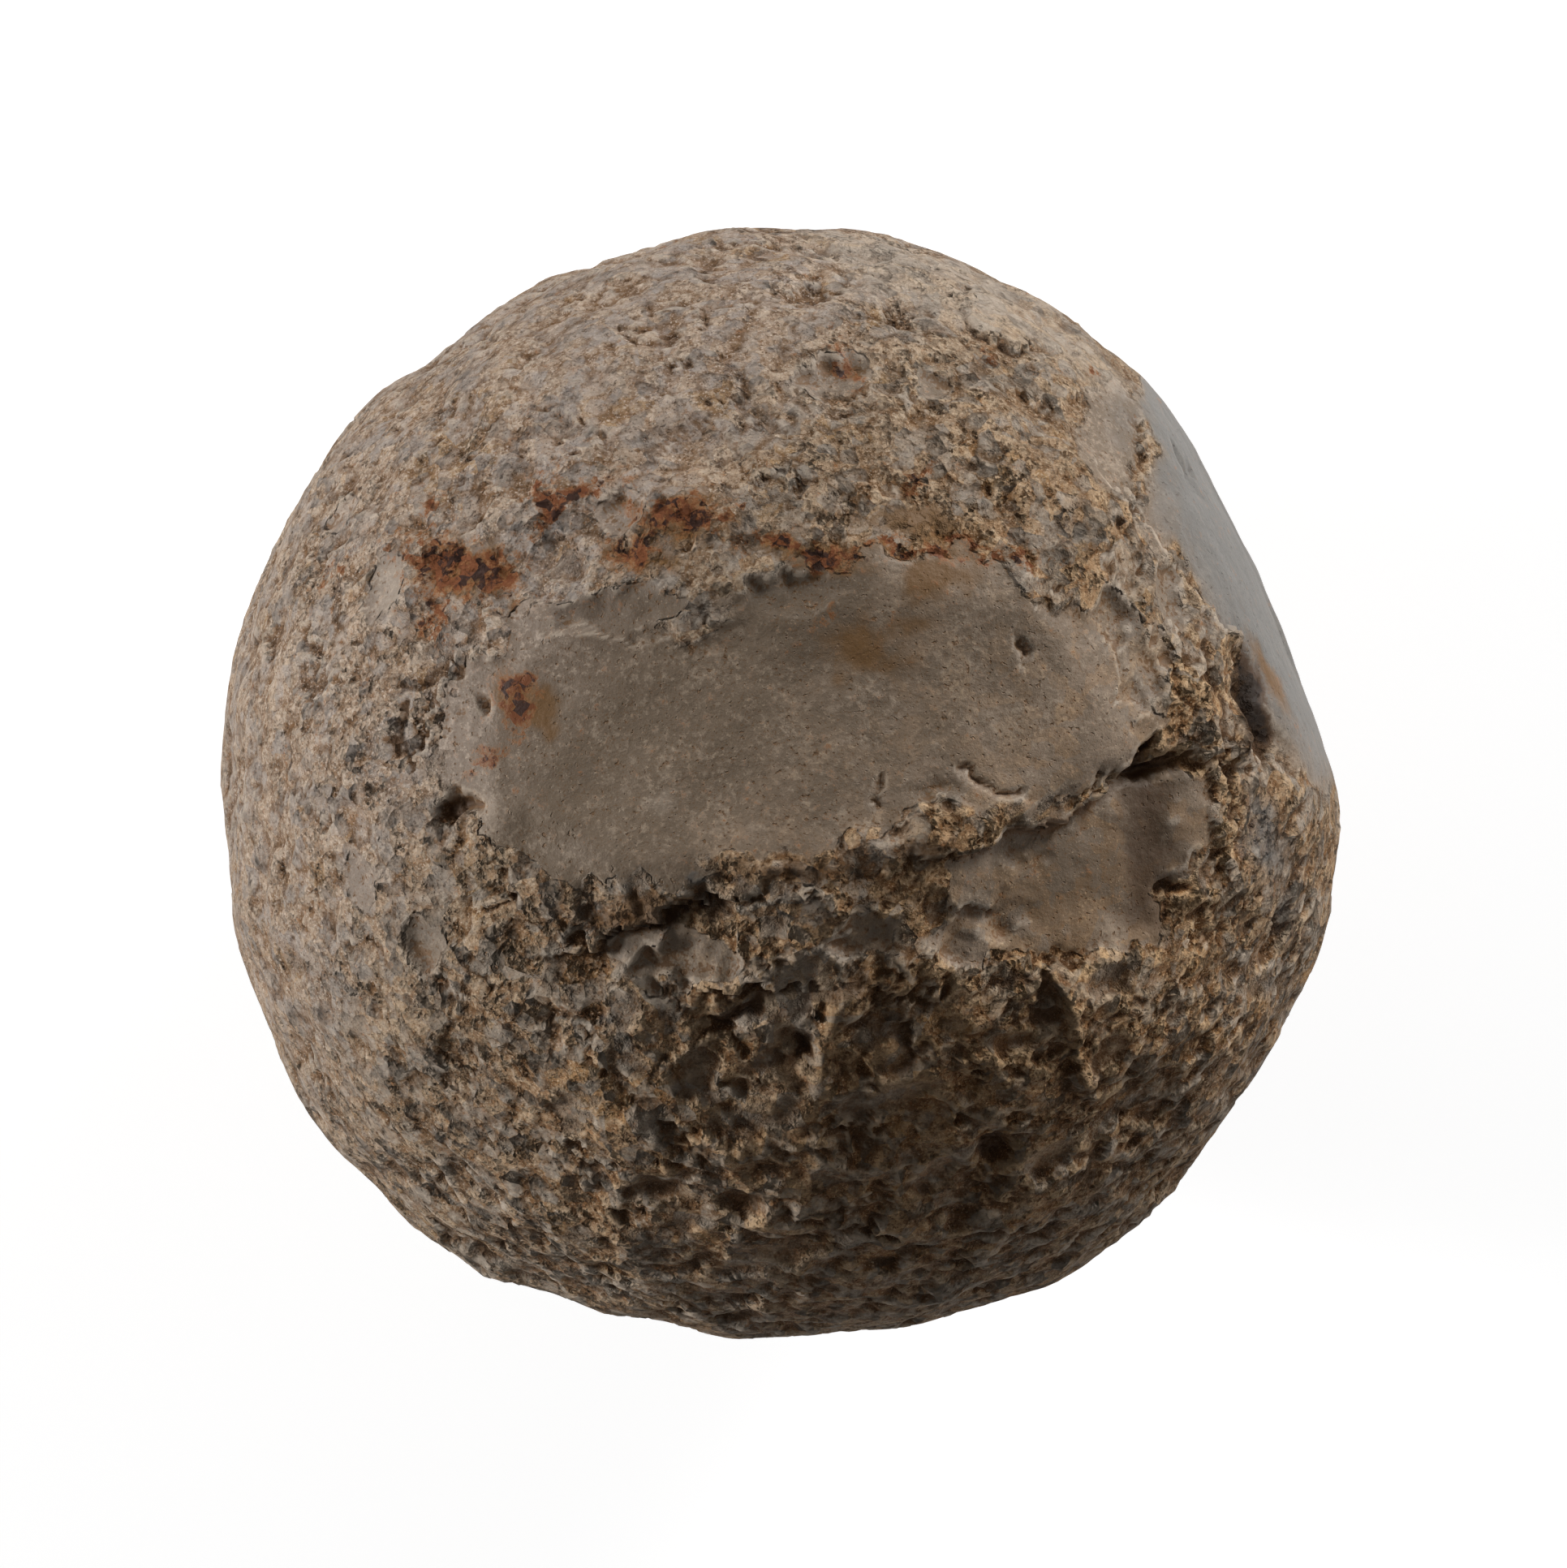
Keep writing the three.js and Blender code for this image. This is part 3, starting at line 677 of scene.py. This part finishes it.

# Stains and dirt, kept with the mesh, some of them painted shade and highlight: how deep each place lies in
# its surroundings, how fresh the flint is, and the patches of rust, ochre, brown soil, pale crust and
# blue-grey flint that the photograph shows. Depth darkens hollows partly as painted shade and lightens crests
# partly as painted highlight;
# the deep soil and some brown, blue-grey and dull patches are partly painted shade, and a pale patch partly
# painted highlight.
RUST = [
    # plan middle, half length, half width, turn, strength
    (-20.6, 13.8, 2.6, 1.3, -14, 1.0),
    (-18.4, 13.0, 1.6, 1.1, 10, 0.9),
    (-22.0, 11.0, 0.7, 1.8, 10, 0.8),
    (-22.4, 17.7, 0.4, 0.9, -25, 0.8),
    (-14.6, 17.8, 1.5, 0.8, 60, 1.0),
    (-11.8, 18.6, 1.5, 0.5, 25, 1.0),
    (-15, 16.4, 0.7, 0.6, 0, 0.9),
    (-6.4, 16.9, 2.2, 0.9, -12, 1.0),
    (-8.7, 14.5, 1.4, 0.9, 40, 0.9),
    (-3.6, 16.4, 1.0, 0.7, 30, 0.8),
    (0.4, 14.8, 1.8, 0.5, -8, 1.0),
    (3.4, 14.3, 1.4, 0.5, 10, 0.95),
    (8.5, 14.7, 4.5, 0.35, 0, 0.9),
    (14.5, 14.4, 3.0, 0.3, -6, 0.8),
    (-16.6, 6.0, 0.9, 0.8, 15, 0.95),
    (-16.4, 4.2, 0.8, 1.2, 15, 0.9),
    (-18.2, 1.0, 1.2, 0.5, 30, 0.7),
    (9.2, 19.2, 1.3, 0.5, 20, 0.6),
    (4.8, 26.6, 0.4, 1.4, 10, 0.7),
    (13.8, 27.5, 0.7, 0.4, 0, 0.5),
    (20.8, 26.7, 0.3, 0.3, 0, 0.8),
    (2.8, 10.2, 1.2, 0.6, 60, 0.55),
    (-28.8, 13.4, 0.4, 1.2, -15, 0.6),
]
OCHRE = [
    (6.0, 8.0, 3.0, 2.0, -10, 0.85),
    (10.6, 13.0, 2.8, 1.5, 15, 0.85),
    (9.5, 16.3, 4.0, 1.2, -4, 0.8),
    (-14.7, 4.4, 1.1, 2.0, 10, 0.8),
    (-8.0, 14.2, 2.6, 1.6, 0, 0.7),
    (-19.6, 13.4, 3.6, 2.2, -8, 0.8),
    (-6.4, 16.4, 3.2, 1.8, -10, 0.8),
    (2.5, 14.4, 4.2, 1.1, 0, 0.8),
    (8.5, 10.2, 2.4, 1.2, 0, 0.55),
    (32.4, 6.8, 0.6, 3.4, 28, 0.8),
    (-16.6, 5, 1.6, 2.4, 10, 0.7),
]
# Brown soil. The patches along the ledges, in the cleft at the right and in a pit at the left also paint
# their shade.
BROWN_SOIL_AND_SHADE_PATCHES = [
    (-8.3, -8.7, 3.6, 0.9, 14, 1.1),
    (1.5, -5.8, 6.0, 1.3, -4, 0.8),
    (9.8, -4.6, 3.6, 1.2, 15, 0.8),
    (24.9, 0.9, 2.6, 0.7, 12, 1.0),
    (18.0, -2.7, 4.0, 0.5, 25, 0.9),
    (31.2, 5.0, 3.9, 1.0, -76, 1.2),
    (9.0, -14.6, 4.2, 1.8, 10, 0.5),
    (21.0, -18.2, 2.6, 2.0, 0, 0.4),
    (-20.2, -2.6, 0.9, 2.2, -10, 0.8),
    (5.4, -13.4, 3.0, 1.4, 20, 0.7),
    (-6.0, 22.5, 3.0, 1.5, 40, 0.4),
]
# Pale crust. The long patch on the blade low on the crown is partly painted highlight.
PALE = [
    (10.0, 33.0, 12.0, 3.2, -24, 0.9),
    (20.0, 27.5, 4.6, 1.6, -40, 0.9),
    (-7.2, -1.1, 2.2, 0.8, 14, 0.6),
    (-24.6, 12.6, 1.9, 2.4, 0, 0.6),
    (-11.6, 9.6, 1.8, 0.5, 0, 0.6),
    (1, -14.6, 3.2, 0.6, 27, 0.8),
    (21.7, -11, 0.7, 0.5, 0, 0.9),
    (-2.9, -9.4, 0.9, 0.8, 0, 0.8),
    (25.5, -9.4, 0.7, 1.1, 0, 0.7),
    (-4.9, -19.5, 0.6, 1.6, 0, 0.9),
]
# Blue-grey flint. The broad patch at the left of the crown scar is painted shade.
BLUE_GREY_AND_SHADE_PATCHES = [
    (31.8, -3.8, 1.8, 4.2, 8, 0.9),
    (33.6, -9, 1.6, 3.6, 20, 0.6),
    (-10.3, -15.0, 0.8, 1.0, 0, 0.9),
    (-4.6, -6.7, 1.6, 0.3, 22, 0.9),
    (-13, 12.2, 1.3, 0.7, 0, 0.7),
    (18.8, 15.8, 0.8, 1.2, 20, 0.7),
    (-6, -20.5, 3, 2, 0, 0.4),
    (-12, 0, 8, 5, 0, 0.3),
    (-3, 21, 4, 1.5, 20, 0.4),
    (-22, -9.5, 3, 2.5, 30, 0.45),
]
# Duller, darker flint on the step scar's bed and over parts of the crown scar: partly the flint's own tone,
# partly painted shade.
DULL_AND_SHADED_PATCHES = [
    (20.5, -5.5, 7.6, 4.0, 12, 1.0),
    (25.0, -3.0, 1.6, 3.4, 0, 1.0),
    (-9.0, 10.6, 5.5, 2.0, 8, 0.9),
    (2.0, 10.5, 5.0, 2.6, 0, 0.7),
    (-1.0, 3.0, 7.0, 5.0, 0, 0.3),
    (-14.0, 0.0, 6.0, 4.0, 0, 0.5),
    (10.0, -1.5, 3.0, 1.5, 0, 0.5),
]
# Dark soil and painted shade in the cleft at the right, under the arch of the step ledge and in a hole low on
# the crown.
DEEP_SOIL_AND_PAINTED_SHADE = [
    (31.2, 4.9, 3.2, 0.8, -76, 2.6),
    (30.9, 2.2, 0.5, 1.6, 0, 0.9),
    (25.0, 1.0, 1.6, 0.5, 12, 0.9),
    (-2.8, -14.9, 1.5, 0.5, 25, 0.9),
]
RUST_GROWTH = 1.4
BLUE_FACET_DEGREES = 30
BLUE_FACET_STRENGTH = 1.1
WARMTH = 0.3
WARMER_TO_RIGHT = 0.45
WARMER_TO_FRONT = 0.35
WARMTH_RISE = 1.3
WARMTH_AT_OUTLINE = 0.4
STAINS_RISE = 6


def stain(patches, growth=1.0):
    """How strongly the nearest of some patches marks each corner of the crown, fading at the outline."""
    strength = np.zeros(CORNERS)
    for x, y, long, wide, turn, most in patches:
        reach = reach_in_plan(x, y, long * growth, wide * growth, turn, frayed_plan)
        strength = np.maximum(strength, most * np.exp(-(reach**2)))
    return strength * np.clip(STAINS_RISE * ways[:, 2], 0, 1)


def keep_with_mesh(name, values):
    """Keeps one value for each corner as an attribute of the mesh."""
    stone_mesh.attributes.new(name, "FLOAT", "POINT").data.foreach_set("value", values.astype(np.float32))


keep_with_mesh("fresh", spread(fresh, rounds=1))
keep_with_mesh("tone", tone)
keep_with_mesh("coarse", coarse)
# Crests and hollows for the finish. Crests are tinted pale, partly as painted highlight; hollows gather soil,
# partly as painted shade.
keep_with_mesh("edge", skin - spread(skin, rounds=3))
keep_with_mesh("dip", spread(skin, rounds=10) - skin)
keep_with_mesh("dale", spread(skin, rounds=90) - skin)
keep_with_mesh("crevice_soil_and_painted_shade", np.maximum(crevice_soil_and_painted_shade, stain(DEEP_SOIL_AND_PAINTED_SHADE)))
warm_side = np.clip(WARMTH + WARMER_TO_RIGHT * ways[:, 0] - WARMER_TO_FRONT * ways[:, 1], 0, 1)
keep_with_mesh("warmth", warm_side * np.clip(WARMTH_RISE * ways[:, 2], WARMTH_AT_OUTLINE, 1))
keep_with_mesh("rust", stain(RUST, RUST_GROWTH))
keep_with_mesh("ochre", stain(OCHRE))
keep_with_mesh("brown_soil_and_painted_shade", stain(BROWN_SOIL_AND_SHADE_PATCHES))
keep_with_mesh("pale", stain(PALE))
# The right facet is tinted blue-grey: its own cool tone, and partly painted shade.
off_facet = np.degrees(np.arccos(np.clip(ways @ way(*RIGHT_FACET), -1, 1)))
blue_shaded_facet = BLUE_FACET_STRENGTH * spread(fresh, rounds=1) * np.exp(-((off_facet / BLUE_FACET_DEGREES) ** 4))
keep_with_mesh("blue_grey_and_painted_shade", np.maximum(stain(BLUE_GREY_AND_SHADE_PATCHES), blue_shaded_facet))
keep_with_mesh("dull_and_painted_shade", stain(DULL_AND_SHADED_PATCHES))


# The finish: smooth grey flint where it is fresh, and elsewhere a crust of bruised cream grains and small
# grey flake faces, with brown soil between them, thickened in hollows and crevices partly as painted shade,
# and crests and flecks lightened partly as painted highlight. Dents too small for the mesh are in the bump.
class Value:
    """An output of a material's node tree. Arithmetic on it adds Math nodes to the tree."""

    def __init__(self, tree, socket):
        self.tree = tree
        self.socket = socket

    def node(self, kind, settings, inputs, output=0):
        """Adds a node, sets it up, gives its sockets values or links and wraps one of its outputs."""
        made = self.tree.nodes.new(kind)
        for name, setting in settings.items():
            setattr(made, name, setting)
        for name, given in inputs.items():
            if isinstance(given, Value):
                self.tree.links.new(given.socket, made.inputs[name])
            else:
                made.inputs[name].default_value = given
        return Value(self.tree, made.outputs[output])

    def combine(self, operation, first, second):
        return self.node("ShaderNodeMath", {"operation": operation}, {0: first, 1: second})

    def __add__(self, other):
        return self.combine("ADD", self, other)

    def __mul__(self, other):
        return self.combine("MULTIPLY", self, other)

    def __sub__(self, other):
        return self.combine("SUBTRACT", self, other)

    def __rsub__(self, other):
        return self.combine("SUBTRACT", other, self)

    __radd__ = __add__
    __rmul__ = __mul__

    def clamp(self):
        return self.node("ShaderNodeClamp", {}, {"Value": self})

    def step(self, low, high):
        """Goes smoothly from 0 to 1 as this value goes from low to high."""
        return self.node(
            "ShaderNodeMapRange", {"interpolation_type": "SMOOTHSTEP"},
            {"Value": self, "From Min": low, "From Max": high},
        )

    def tint(self, plain, tinted):
        """The first colour where this value is 0, and the second where it is 1."""
        return self.node("ShaderNodeMix", {"data_type": "RGBA"}, {0: self, 6: plain, 7: tinted}, output=2)

    def glaze(self, plain, filtered):
        """The first colour where this value is 0, and times the second where it is 1."""
        settings = {"data_type": "RGBA", "blend_type": "MULTIPLY"}
        return self.node("ShaderNodeMix", settings, {0: self, 6: plain, 7: filtered}, output=2)

    def vector(self, operation, inputs, output=0):
        return self.node("ShaderNodeVectorMath", {"operation": operation}, {0: self, **inputs}, output)

    def noise(self, spacing, detail=3.0, roughness=0.55, output=0):
        """Cloudy noise whose largest clouds are about spacing across, less its mean of a half."""
        made = self.node(
            "ShaderNodeTexNoise", {},
            {"Vector": self, "Scale": 1 / spacing, "Detail": detail, "Roughness": roughness}, output,
        )
        return made - 0.5 if output == 0 else made

    def sibling(self, output):
        """Another output of the same node."""
        return Value(self.tree, self.socket.node.outputs[output])

    def cells(self, size):
        """Cells about size across, as the nearest cell's random colour."""
        return self.node("ShaderNodeTexVoronoi", {}, {"Vector": self, "Scale": 1 / size}, "Color")

    def dent(self, cell, size, hollow, lean):
        """Height over this place of the dent in its cell, which leans its own way and is hollow."""
        tip = cell.vector("SUBTRACT", {1: (0.5, 0.5, 0.5)}).vector("SCALE", {"Scale": lean})
        offset = self.vector("SUBTRACT", {1: cell.sibling("Position")})
        apart = cell.sibling("Distance")
        return offset.vector("DOT_PRODUCT", {1: tip}, output="Value") + apart * apart * (hollow * size)

    def channel(self, index):
        """One of the three parts of this colour."""
        return self.node("ShaderNodeSeparateColor", {}, {"Color": self}, index)


def linear(red, green, blue):
    """A colour written as 8-bit screen values, as the linear colour that shaders take."""
    def channel(level):
        level /= 255
        return level / 12.92 if level <= 0.04045 else ((level + 0.055) / 1.055) ** 2.4
    return (channel(red), channel(green), channel(blue), 1.0)


BISCUIT = linear(152, 130, 107)
CREAM = linear(180, 160, 137)
SAND = linear(154, 124, 88)
BRUISED_GREY = linear(146, 134, 121)
SOIL = linear(108, 78, 48)
DARK_SOIL = linear(66, 46, 29)
SHADED_SOIL = linear(34, 23, 14)
FLINT_GREY = linear(146, 127, 108)
DEEP_FLINT = linear(122, 106, 89)
DULL_SHADED_FLINT = linear(102, 87, 71)
MILKY_FLINT = linear(166, 148, 129)
COLD_FLINT = linear(146, 136, 125)
WARM_GLAZE = (1.22, 1.0, 0.72, 1.0)
PALE_GLAZE = (1.2, 1.22, 1.31, 1.0)
RUST_HALO = linear(150, 102, 62)
RUST_RED = linear(112, 62, 36)
RUST_DARK = linear(50, 31, 24)
OCHRE_YELLOW = linear(116, 84, 48)
PALE_CRUST_AND_HIGHLIGHT = linear(198, 182, 164)
SHADED_BLUE_GREY_FLINT = linear(112, 112, 110)

flint = bpy.data.materials.new("battered_flint")
flint.use_nodes = True
tree = flint.node_tree
shader = tree.nodes["Principled BSDF"]
object_place = Value(tree, tree.nodes.new("ShaderNodeTexCoord").outputs["Object"])
place = object_place.vector("SCALE", {"Scale": 1 / MM})
wander = place.noise(1.2, 1.0, output="Color").vector("SUBTRACT", {1: (0.5, 0.5, 0.5)})
frayed = place.vector("ADD", {1: wander.vector("SCALE", {"Scale": 0.5})})


def kept(name):
    """The value that was kept with the mesh under a name."""
    return object_place.node("ShaderNodeAttribute", {"attribute_name": name}, {}, output="Fac")


BROAD_DENT = 2.3
COARSE_DENT = 1.15
MIDDLE_DENT = 0.58
FINE_DENT = 0.27
broad_cell = frayed.cells(BROAD_DENT)
coarse_cell = frayed.cells(COARSE_DENT)
middle_cell = frayed.cells(MIDDLE_DENT)
fine_cell = frayed.cells(FINE_DENT)
grit = place.noise(0.24, 3.0, 0.7)
lumps = frayed.noise(0.9, 4.0, 0.6)
blotch = place.noise(2.4, 5.0, 0.62)
cloud = place.noise(8.0, 3.0, 0.55)
speck = place.noise(0.5, 4.0, 0.7)
fleck = place.noise(0.16, 2.0, 0.6)
clump = place.noise(3.2, 2.0, 0.5)
dots = place.noise(0.34, 1.0, 0.5)
holes = place.noise(0.8, 3.0, 0.6)
smooth = (kept("fresh") + blotch * 0.35 + speck * 0.45).step(0.3, 0.65)
rough = 1 - smooth
calm = (place.noise(4.5, 2.0) + blotch * 0.4).step(-0.15, 0.2)

kind = broad_cell.channel(2) * 0.45 + coarse_cell.channel(2) * 0.55 + clump * 0.6
flaky = (0.48 - kind).step(-0.03, 0.03)
crumbly = 1 - flaky * 0.6
pitted = (holes * -1.0 + fleck * 0.15).step(0.1, 0.26)
crumbs = (frayed.dent(middle_cell, MIDDLE_DENT, 0.2, 1.0)
          + frayed.dent(fine_cell, FINE_DENT, 0.2, 1.3) + lumps * 0.15 + grit * 0.13)
crust_height = (frayed.dent(broad_cell, BROAD_DENT, 0.08, 0.5)
                + frayed.dent(coarse_cell, COARSE_DENT, 0.18, 1.0) + crumbly * crumbs - pitted * 0.14)
flint_height = (place.noise(3.0, 1.0) * 0.22 + lumps * 0.12 + speck * 0.05 + grit * 0.015
                - dots.step(0.16, 0.26) * 0.06)
relief_height = rough * crust_height * (kept("coarse") * 0.4 + 0.65) * (1.25 - calm * 0.4)
relief_height = relief_height + smooth * flint_height

warmth = kept("warmth")
grain_tone = (coarse_cell.channel(0) - 0.5) * 0.3 + (middle_cell.channel(1) - 0.5) * 0.4
# Soil in the crust, thicker in hollows and where the battering is coarse at the front and right: partly real
# soil, partly painted shade of the hollows and of that side.
soil_and_painted_shade_in_crust = (kept("dip") * 3.5 + kept("dale") * 0.5 - lumps * 1.6 + 0.1 + speck * 2.0 + cloud * 1.2
                 + kept("coarse") * 0.4 - 0.3 - kept("edge") * 5 - kept("pale") * 0.4)
patch_tone = kept("tone") + blotch * 0.25 + speck * 0.3
crust = (blotch + grain_tone * 0.8).step(-0.3, 0.3).tint(BISCUIT, CREAM)
crust = ((cloud * 0.6 + blotch * 0.8 + 0.45 - patch_tone).step(0.0, 0.16) * 0.85).tint(crust, BRUISED_GREY)
crust = ((patch_tone - 0.62 + clump * 0.7 + grain_tone * 0.4).step(0, 0.2) * 0.8).tint(crust, SAND)
crust = (flaky * 0.8).tint(crust, (blotch + speck * 0.5).step(-0.1, 0.15).tint(COLD_FLINT, MILKY_FLINT))
crevice = (coarse_cell.sibling("Distance") + speck * 0.3).step(0.52, 0.8)
crust = (crevice * (clump + kept("coarse") * 0.3).step(-0.1, 0.4) * 0.85).tint(crust, SOIL)
crust = ((fine_cell.channel(0) - 0.5 + fleck).step(0.05, 0.4) * crumbly * 0.6).tint(crust, SOIL)
crust = ((fine_cell.channel(1) - 0.5 + fleck).step(0.1, 0.4) * crumbly * 0.65).tint(crust, CREAM)
crust = (soil_and_painted_shade_in_crust.step(-0.2, 1.2) * 0.8).tint(crust, SOIL)
crust = (soil_and_painted_shade_in_crust.step(0.7, 1.8) * 0.6).tint(crust, DARK_SOIL)
# Dark soil in the pits of the bump, partly painted shade that the bump cannot cast.
crust = (pitted * 0.6).tint(crust, DARK_SOIL)
# Pale flecks: pale grains, partly painted glints.
crust = ((fleck + grit * 0.6 - pitted * 0.5).step(0.06, 0.22) * (crumbly * 0.5 + 0.2)).tint(crust, PALE_CRUST_AND_HIGHLIGHT)
crust = ((fleck * -1.0 + speck * 0.5).step(0.07, 0.2) * 0.65).tint(crust, DARK_SOIL)

fresh_flint = (blotch + cloud * 0.9 + warmth * 0.8 - 0.35).step(-0.2, 0.2).tint(DEEP_FLINT, FLINT_GREY)
fresh_flint = ((patch_tone - 0.5) * (patch_tone - 0.5) * 5.0).clamp().tint(fresh_flint, COLD_FLINT)
fresh_flint = ((clump + speck * 0.6).step(0.02, 0.25) * 0.6).tint(fresh_flint, MILKY_FLINT)
fresh_flint = ((speck * 1.2 + lumps * 0.6).step(0.0, 0.2) * 0.6).tint(fresh_flint, MILKY_FLINT)
# Duller, darker flint, partly painted shade.
dull_and_shade_mask = (kept("dull_and_painted_shade") + blotch * 0.4 + speck * 0.4).step(0.1, 0.9)
fresh_flint = (dull_and_shade_mask * 0.85).tint(fresh_flint, DULL_SHADED_FLINT)
fresh_flint = ((fleck + speck * 0.8 + clump * 0.3).step(0.12, 0.26) * 0.6).tint(fresh_flint, CREAM)
fresh_flint = ((lumps * -0.6 - speck * 1.2).step(0.05, 0.25) * 0.6).tint(fresh_flint, DEEP_FLINT)
fresh_flint = ((fleck * -1.0 - speck * 0.3).step(0.07, 0.2) * 0.6).tint(fresh_flint, SOIL)
# Soil specks, and soil in the flint's hollows, partly painted shade.
fresh_flint = ((dots + clump * 0.3 + kept("dip") * 1.5).step(0.14, 0.28) * 0.75).tint(fresh_flint, SOIL)
colour = smooth.tint(crust, fresh_flint)
# Paler and cooler towards the left and back, where the lamps fall: the cooler hue is the crust's own, the
# paleness partly painted light.
colour = (1 - warmth * 8.0).clamp().glaze(colour, PALE_GLAZE)
colour = ((kept("pale") + blotch * 0.5 + speck * 0.5).step(0.25, 0.8) * 0.5).tint(colour, PALE_CRUST_AND_HIGHLIGHT)
# Pale bruised crests, partly painted highlight.
colour = ((kept("edge") + grit * 0.06).step(0.015, 0.08) * 0.5).tint(colour, PALE_CRUST_AND_HIGHLIGHT)
glazed = (warmth + blotch * 0.4 + speck * 0.5 - smooth * 0.3 - flaky * 0.3 + 0.05).step(-0.05, 0.75)
colour = glazed.glaze(colour, WARM_GLAZE)
# Blue-grey flint, partly painted shade.
colour = ((kept("blue_grey_and_painted_shade") + blotch * 0.6 + speck * 0.6).step(0.3, 1.0) * 0.8).tint(colour, SHADED_BLUE_GREY_FLINT)
colour = ((kept("ochre") + blotch * 0.5 + speck * 0.3).step(0.15, 0.7) * 0.85).tint(colour, OCHRE_YELLOW)
# Brown soil, in the crevices partly painted shade.
colour = ((kept("brown_soil_and_painted_shade") + speck * 1.2).step(0.2, 0.8) * 0.75).tint(colour, SOIL)
rusty = kept("rust") + speck * 1.2 + lumps * 0.9 + fleck * 0.8 + (middle_cell.channel(0) - 0.5) * 0.5
colour = (rusty.step(0.25, 0.7) * 0.85).tint(colour, RUST_HALO)
colour = (rusty.step(0.5, 0.85) * 0.85).tint(colour, RUST_RED)
scabs = kept("rust") + (middle_cell.channel(1) - 0.5) * 1.0 + lumps * 1.2 + speck * 0.8 + grit * 0.4
colour = (scabs.step(0.85, 1.1) * 0.95).tint(colour, RUST_DARK)
# Dark soil in the crevices and the cleft, partly painted shade, with a near-black brown as painted shadow in
# the deepest.
colour = ((kept("crevice_soil_and_painted_shade") + speck * 0.6).step(0.3, 0.9) * 0.85).tint(colour, DARK_SOIL)
colour = ((kept("crevice_soil_and_painted_shade") + speck * 0.6).step(0.9, 1.4) * 0.9).tint(colour, SHADED_SOIL)

DRY_SHEEN = 0.2
DRY_ROUGHNESS = 0.85
FRESH_POLISH = 0.3
shader.inputs["Specular IOR Level"].default_value = DRY_SHEEN
relief = object_place.node("ShaderNodeBump", {}, {"Height": relief_height, "Distance": MM, "Strength": 1.0})
tree.links.new(colour.socket, shader.inputs["Base Color"])
tree.links.new((DRY_ROUGHNESS - smooth * FRESH_POLISH).socket, shader.inputs["Roughness"])
tree.links.new(relief.socket, shader.inputs["Normal"])
stone_mesh.materials.append(flint)
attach(stone, "root")
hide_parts("hammerstone")

# The pale ground that the stone lies on. It glows only to the camera and in reflections, to show white as
# in the photograph, and keeps the stone's soft shadow.
GROUND_SIZE = 8.0
GROUND_GLOW = 0.8
PAPER_GREY = 0.5
PAPER_ROUGHNESS = 0.9

ground_bm = bmesh.new()
bmesh.ops.create_grid(ground_bm, x_segments=1, y_segments=1, size=GROUND_SIZE / 2)
ground_mesh = bpy.data.meshes.new("white_ground")
ground_bm.to_mesh(ground_mesh)
ground_bm.free()
ground = bpy.data.objects.new("white_ground", ground_mesh)
bpy.context.scene.collection.objects.link(ground)
paper = bpy.data.materials.new("white_paper")
paper.use_nodes = True
paper_shader = paper.node_tree.nodes["Principled BSDF"]
paper_shader.inputs["Base Color"].default_value = (PAPER_GREY, PAPER_GREY, PAPER_GREY, 1)
paper_shader.inputs["Roughness"].default_value = PAPER_ROUGHNESS
paper_shader.inputs["Emission Color"].default_value = (1, 1, 1, 1)
path = paper.node_tree.nodes.new("ShaderNodeLightPath")
seen = Value(paper.node_tree, path.outputs["Is Camera Ray"])
mirrored = Value(paper.node_tree, path.outputs["Is Glossy Ray"])
refracted = Value(paper.node_tree, path.outputs["Is Transmission Ray"])
glow = (seen + mirrored + refracted).clamp() * GROUND_GLOW
paper.node_tree.links.new(glow.socket, paper_shader.inputs["Emission Strength"])
ground_mesh.materials.append(paper)

# The studio: two low soft lamps, at the left and at the upper right, that rake over the stone, a weak one
# at the right, and a surround that is dim to the stone and white to the camera. A lamp's level is how bright
# white paper that faces it renders.
LAMP_DISTANCE = 0.8
LAMPS = [
    # name, bearing, rise, size, level
    ("left_lamp", 176, 15, 0.26, 0.92),
    ("upper_lamp", 50, 14.5, 0.30, 0.90),
    ("right_lamp", 0, 10, 0.40, 0.12),
]
SURROUND_GREY = 0.035

for name, bearing, rise, size, level in LAMPS:
    light = bpy.data.lights.new(name, "AREA")
    light.size = size
    light.energy = level * (math.pi * LAMP_DISTANCE) ** 2
    holder = bpy.data.objects.new(name, light)
    bpy.context.scene.collection.objects.link(holder)
    from_stone = Vector(way(bearing, 90 - rise))
    holder.location = stone_middle + from_stone * LAMP_DISTANCE
    holder.rotation_euler = from_stone.to_track_quat("Z", "Y").to_euler()

surround = bpy.data.worlds.new("studio_surround")
bpy.context.scene.world = surround
surround.use_nodes = True
sky = surround.node_tree.nodes["Background"]
sky.inputs["Color"].default_value = (1, 1, 1, 1)
sky_path = surround.node_tree.nodes.new("ShaderNodeLightPath")
sky_seen = Value(surround.node_tree, sky_path.outputs["Is Camera Ray"])
sky_mirrored = Value(surround.node_tree, sky_path.outputs["Is Glossy Ray"])
sky_refracted = Value(surround.node_tree, sky_path.outputs["Is Transmission Ray"])
sky_strength = (sky_seen + sky_mirrored + sky_refracted).clamp() * (1 - SURROUND_GREY) + SURROUND_GREY
surround.node_tree.links.new(sky_strength.socket, sky.inputs["Strength"])
bpy.context.scene.view_settings.view_transform = "Standard"
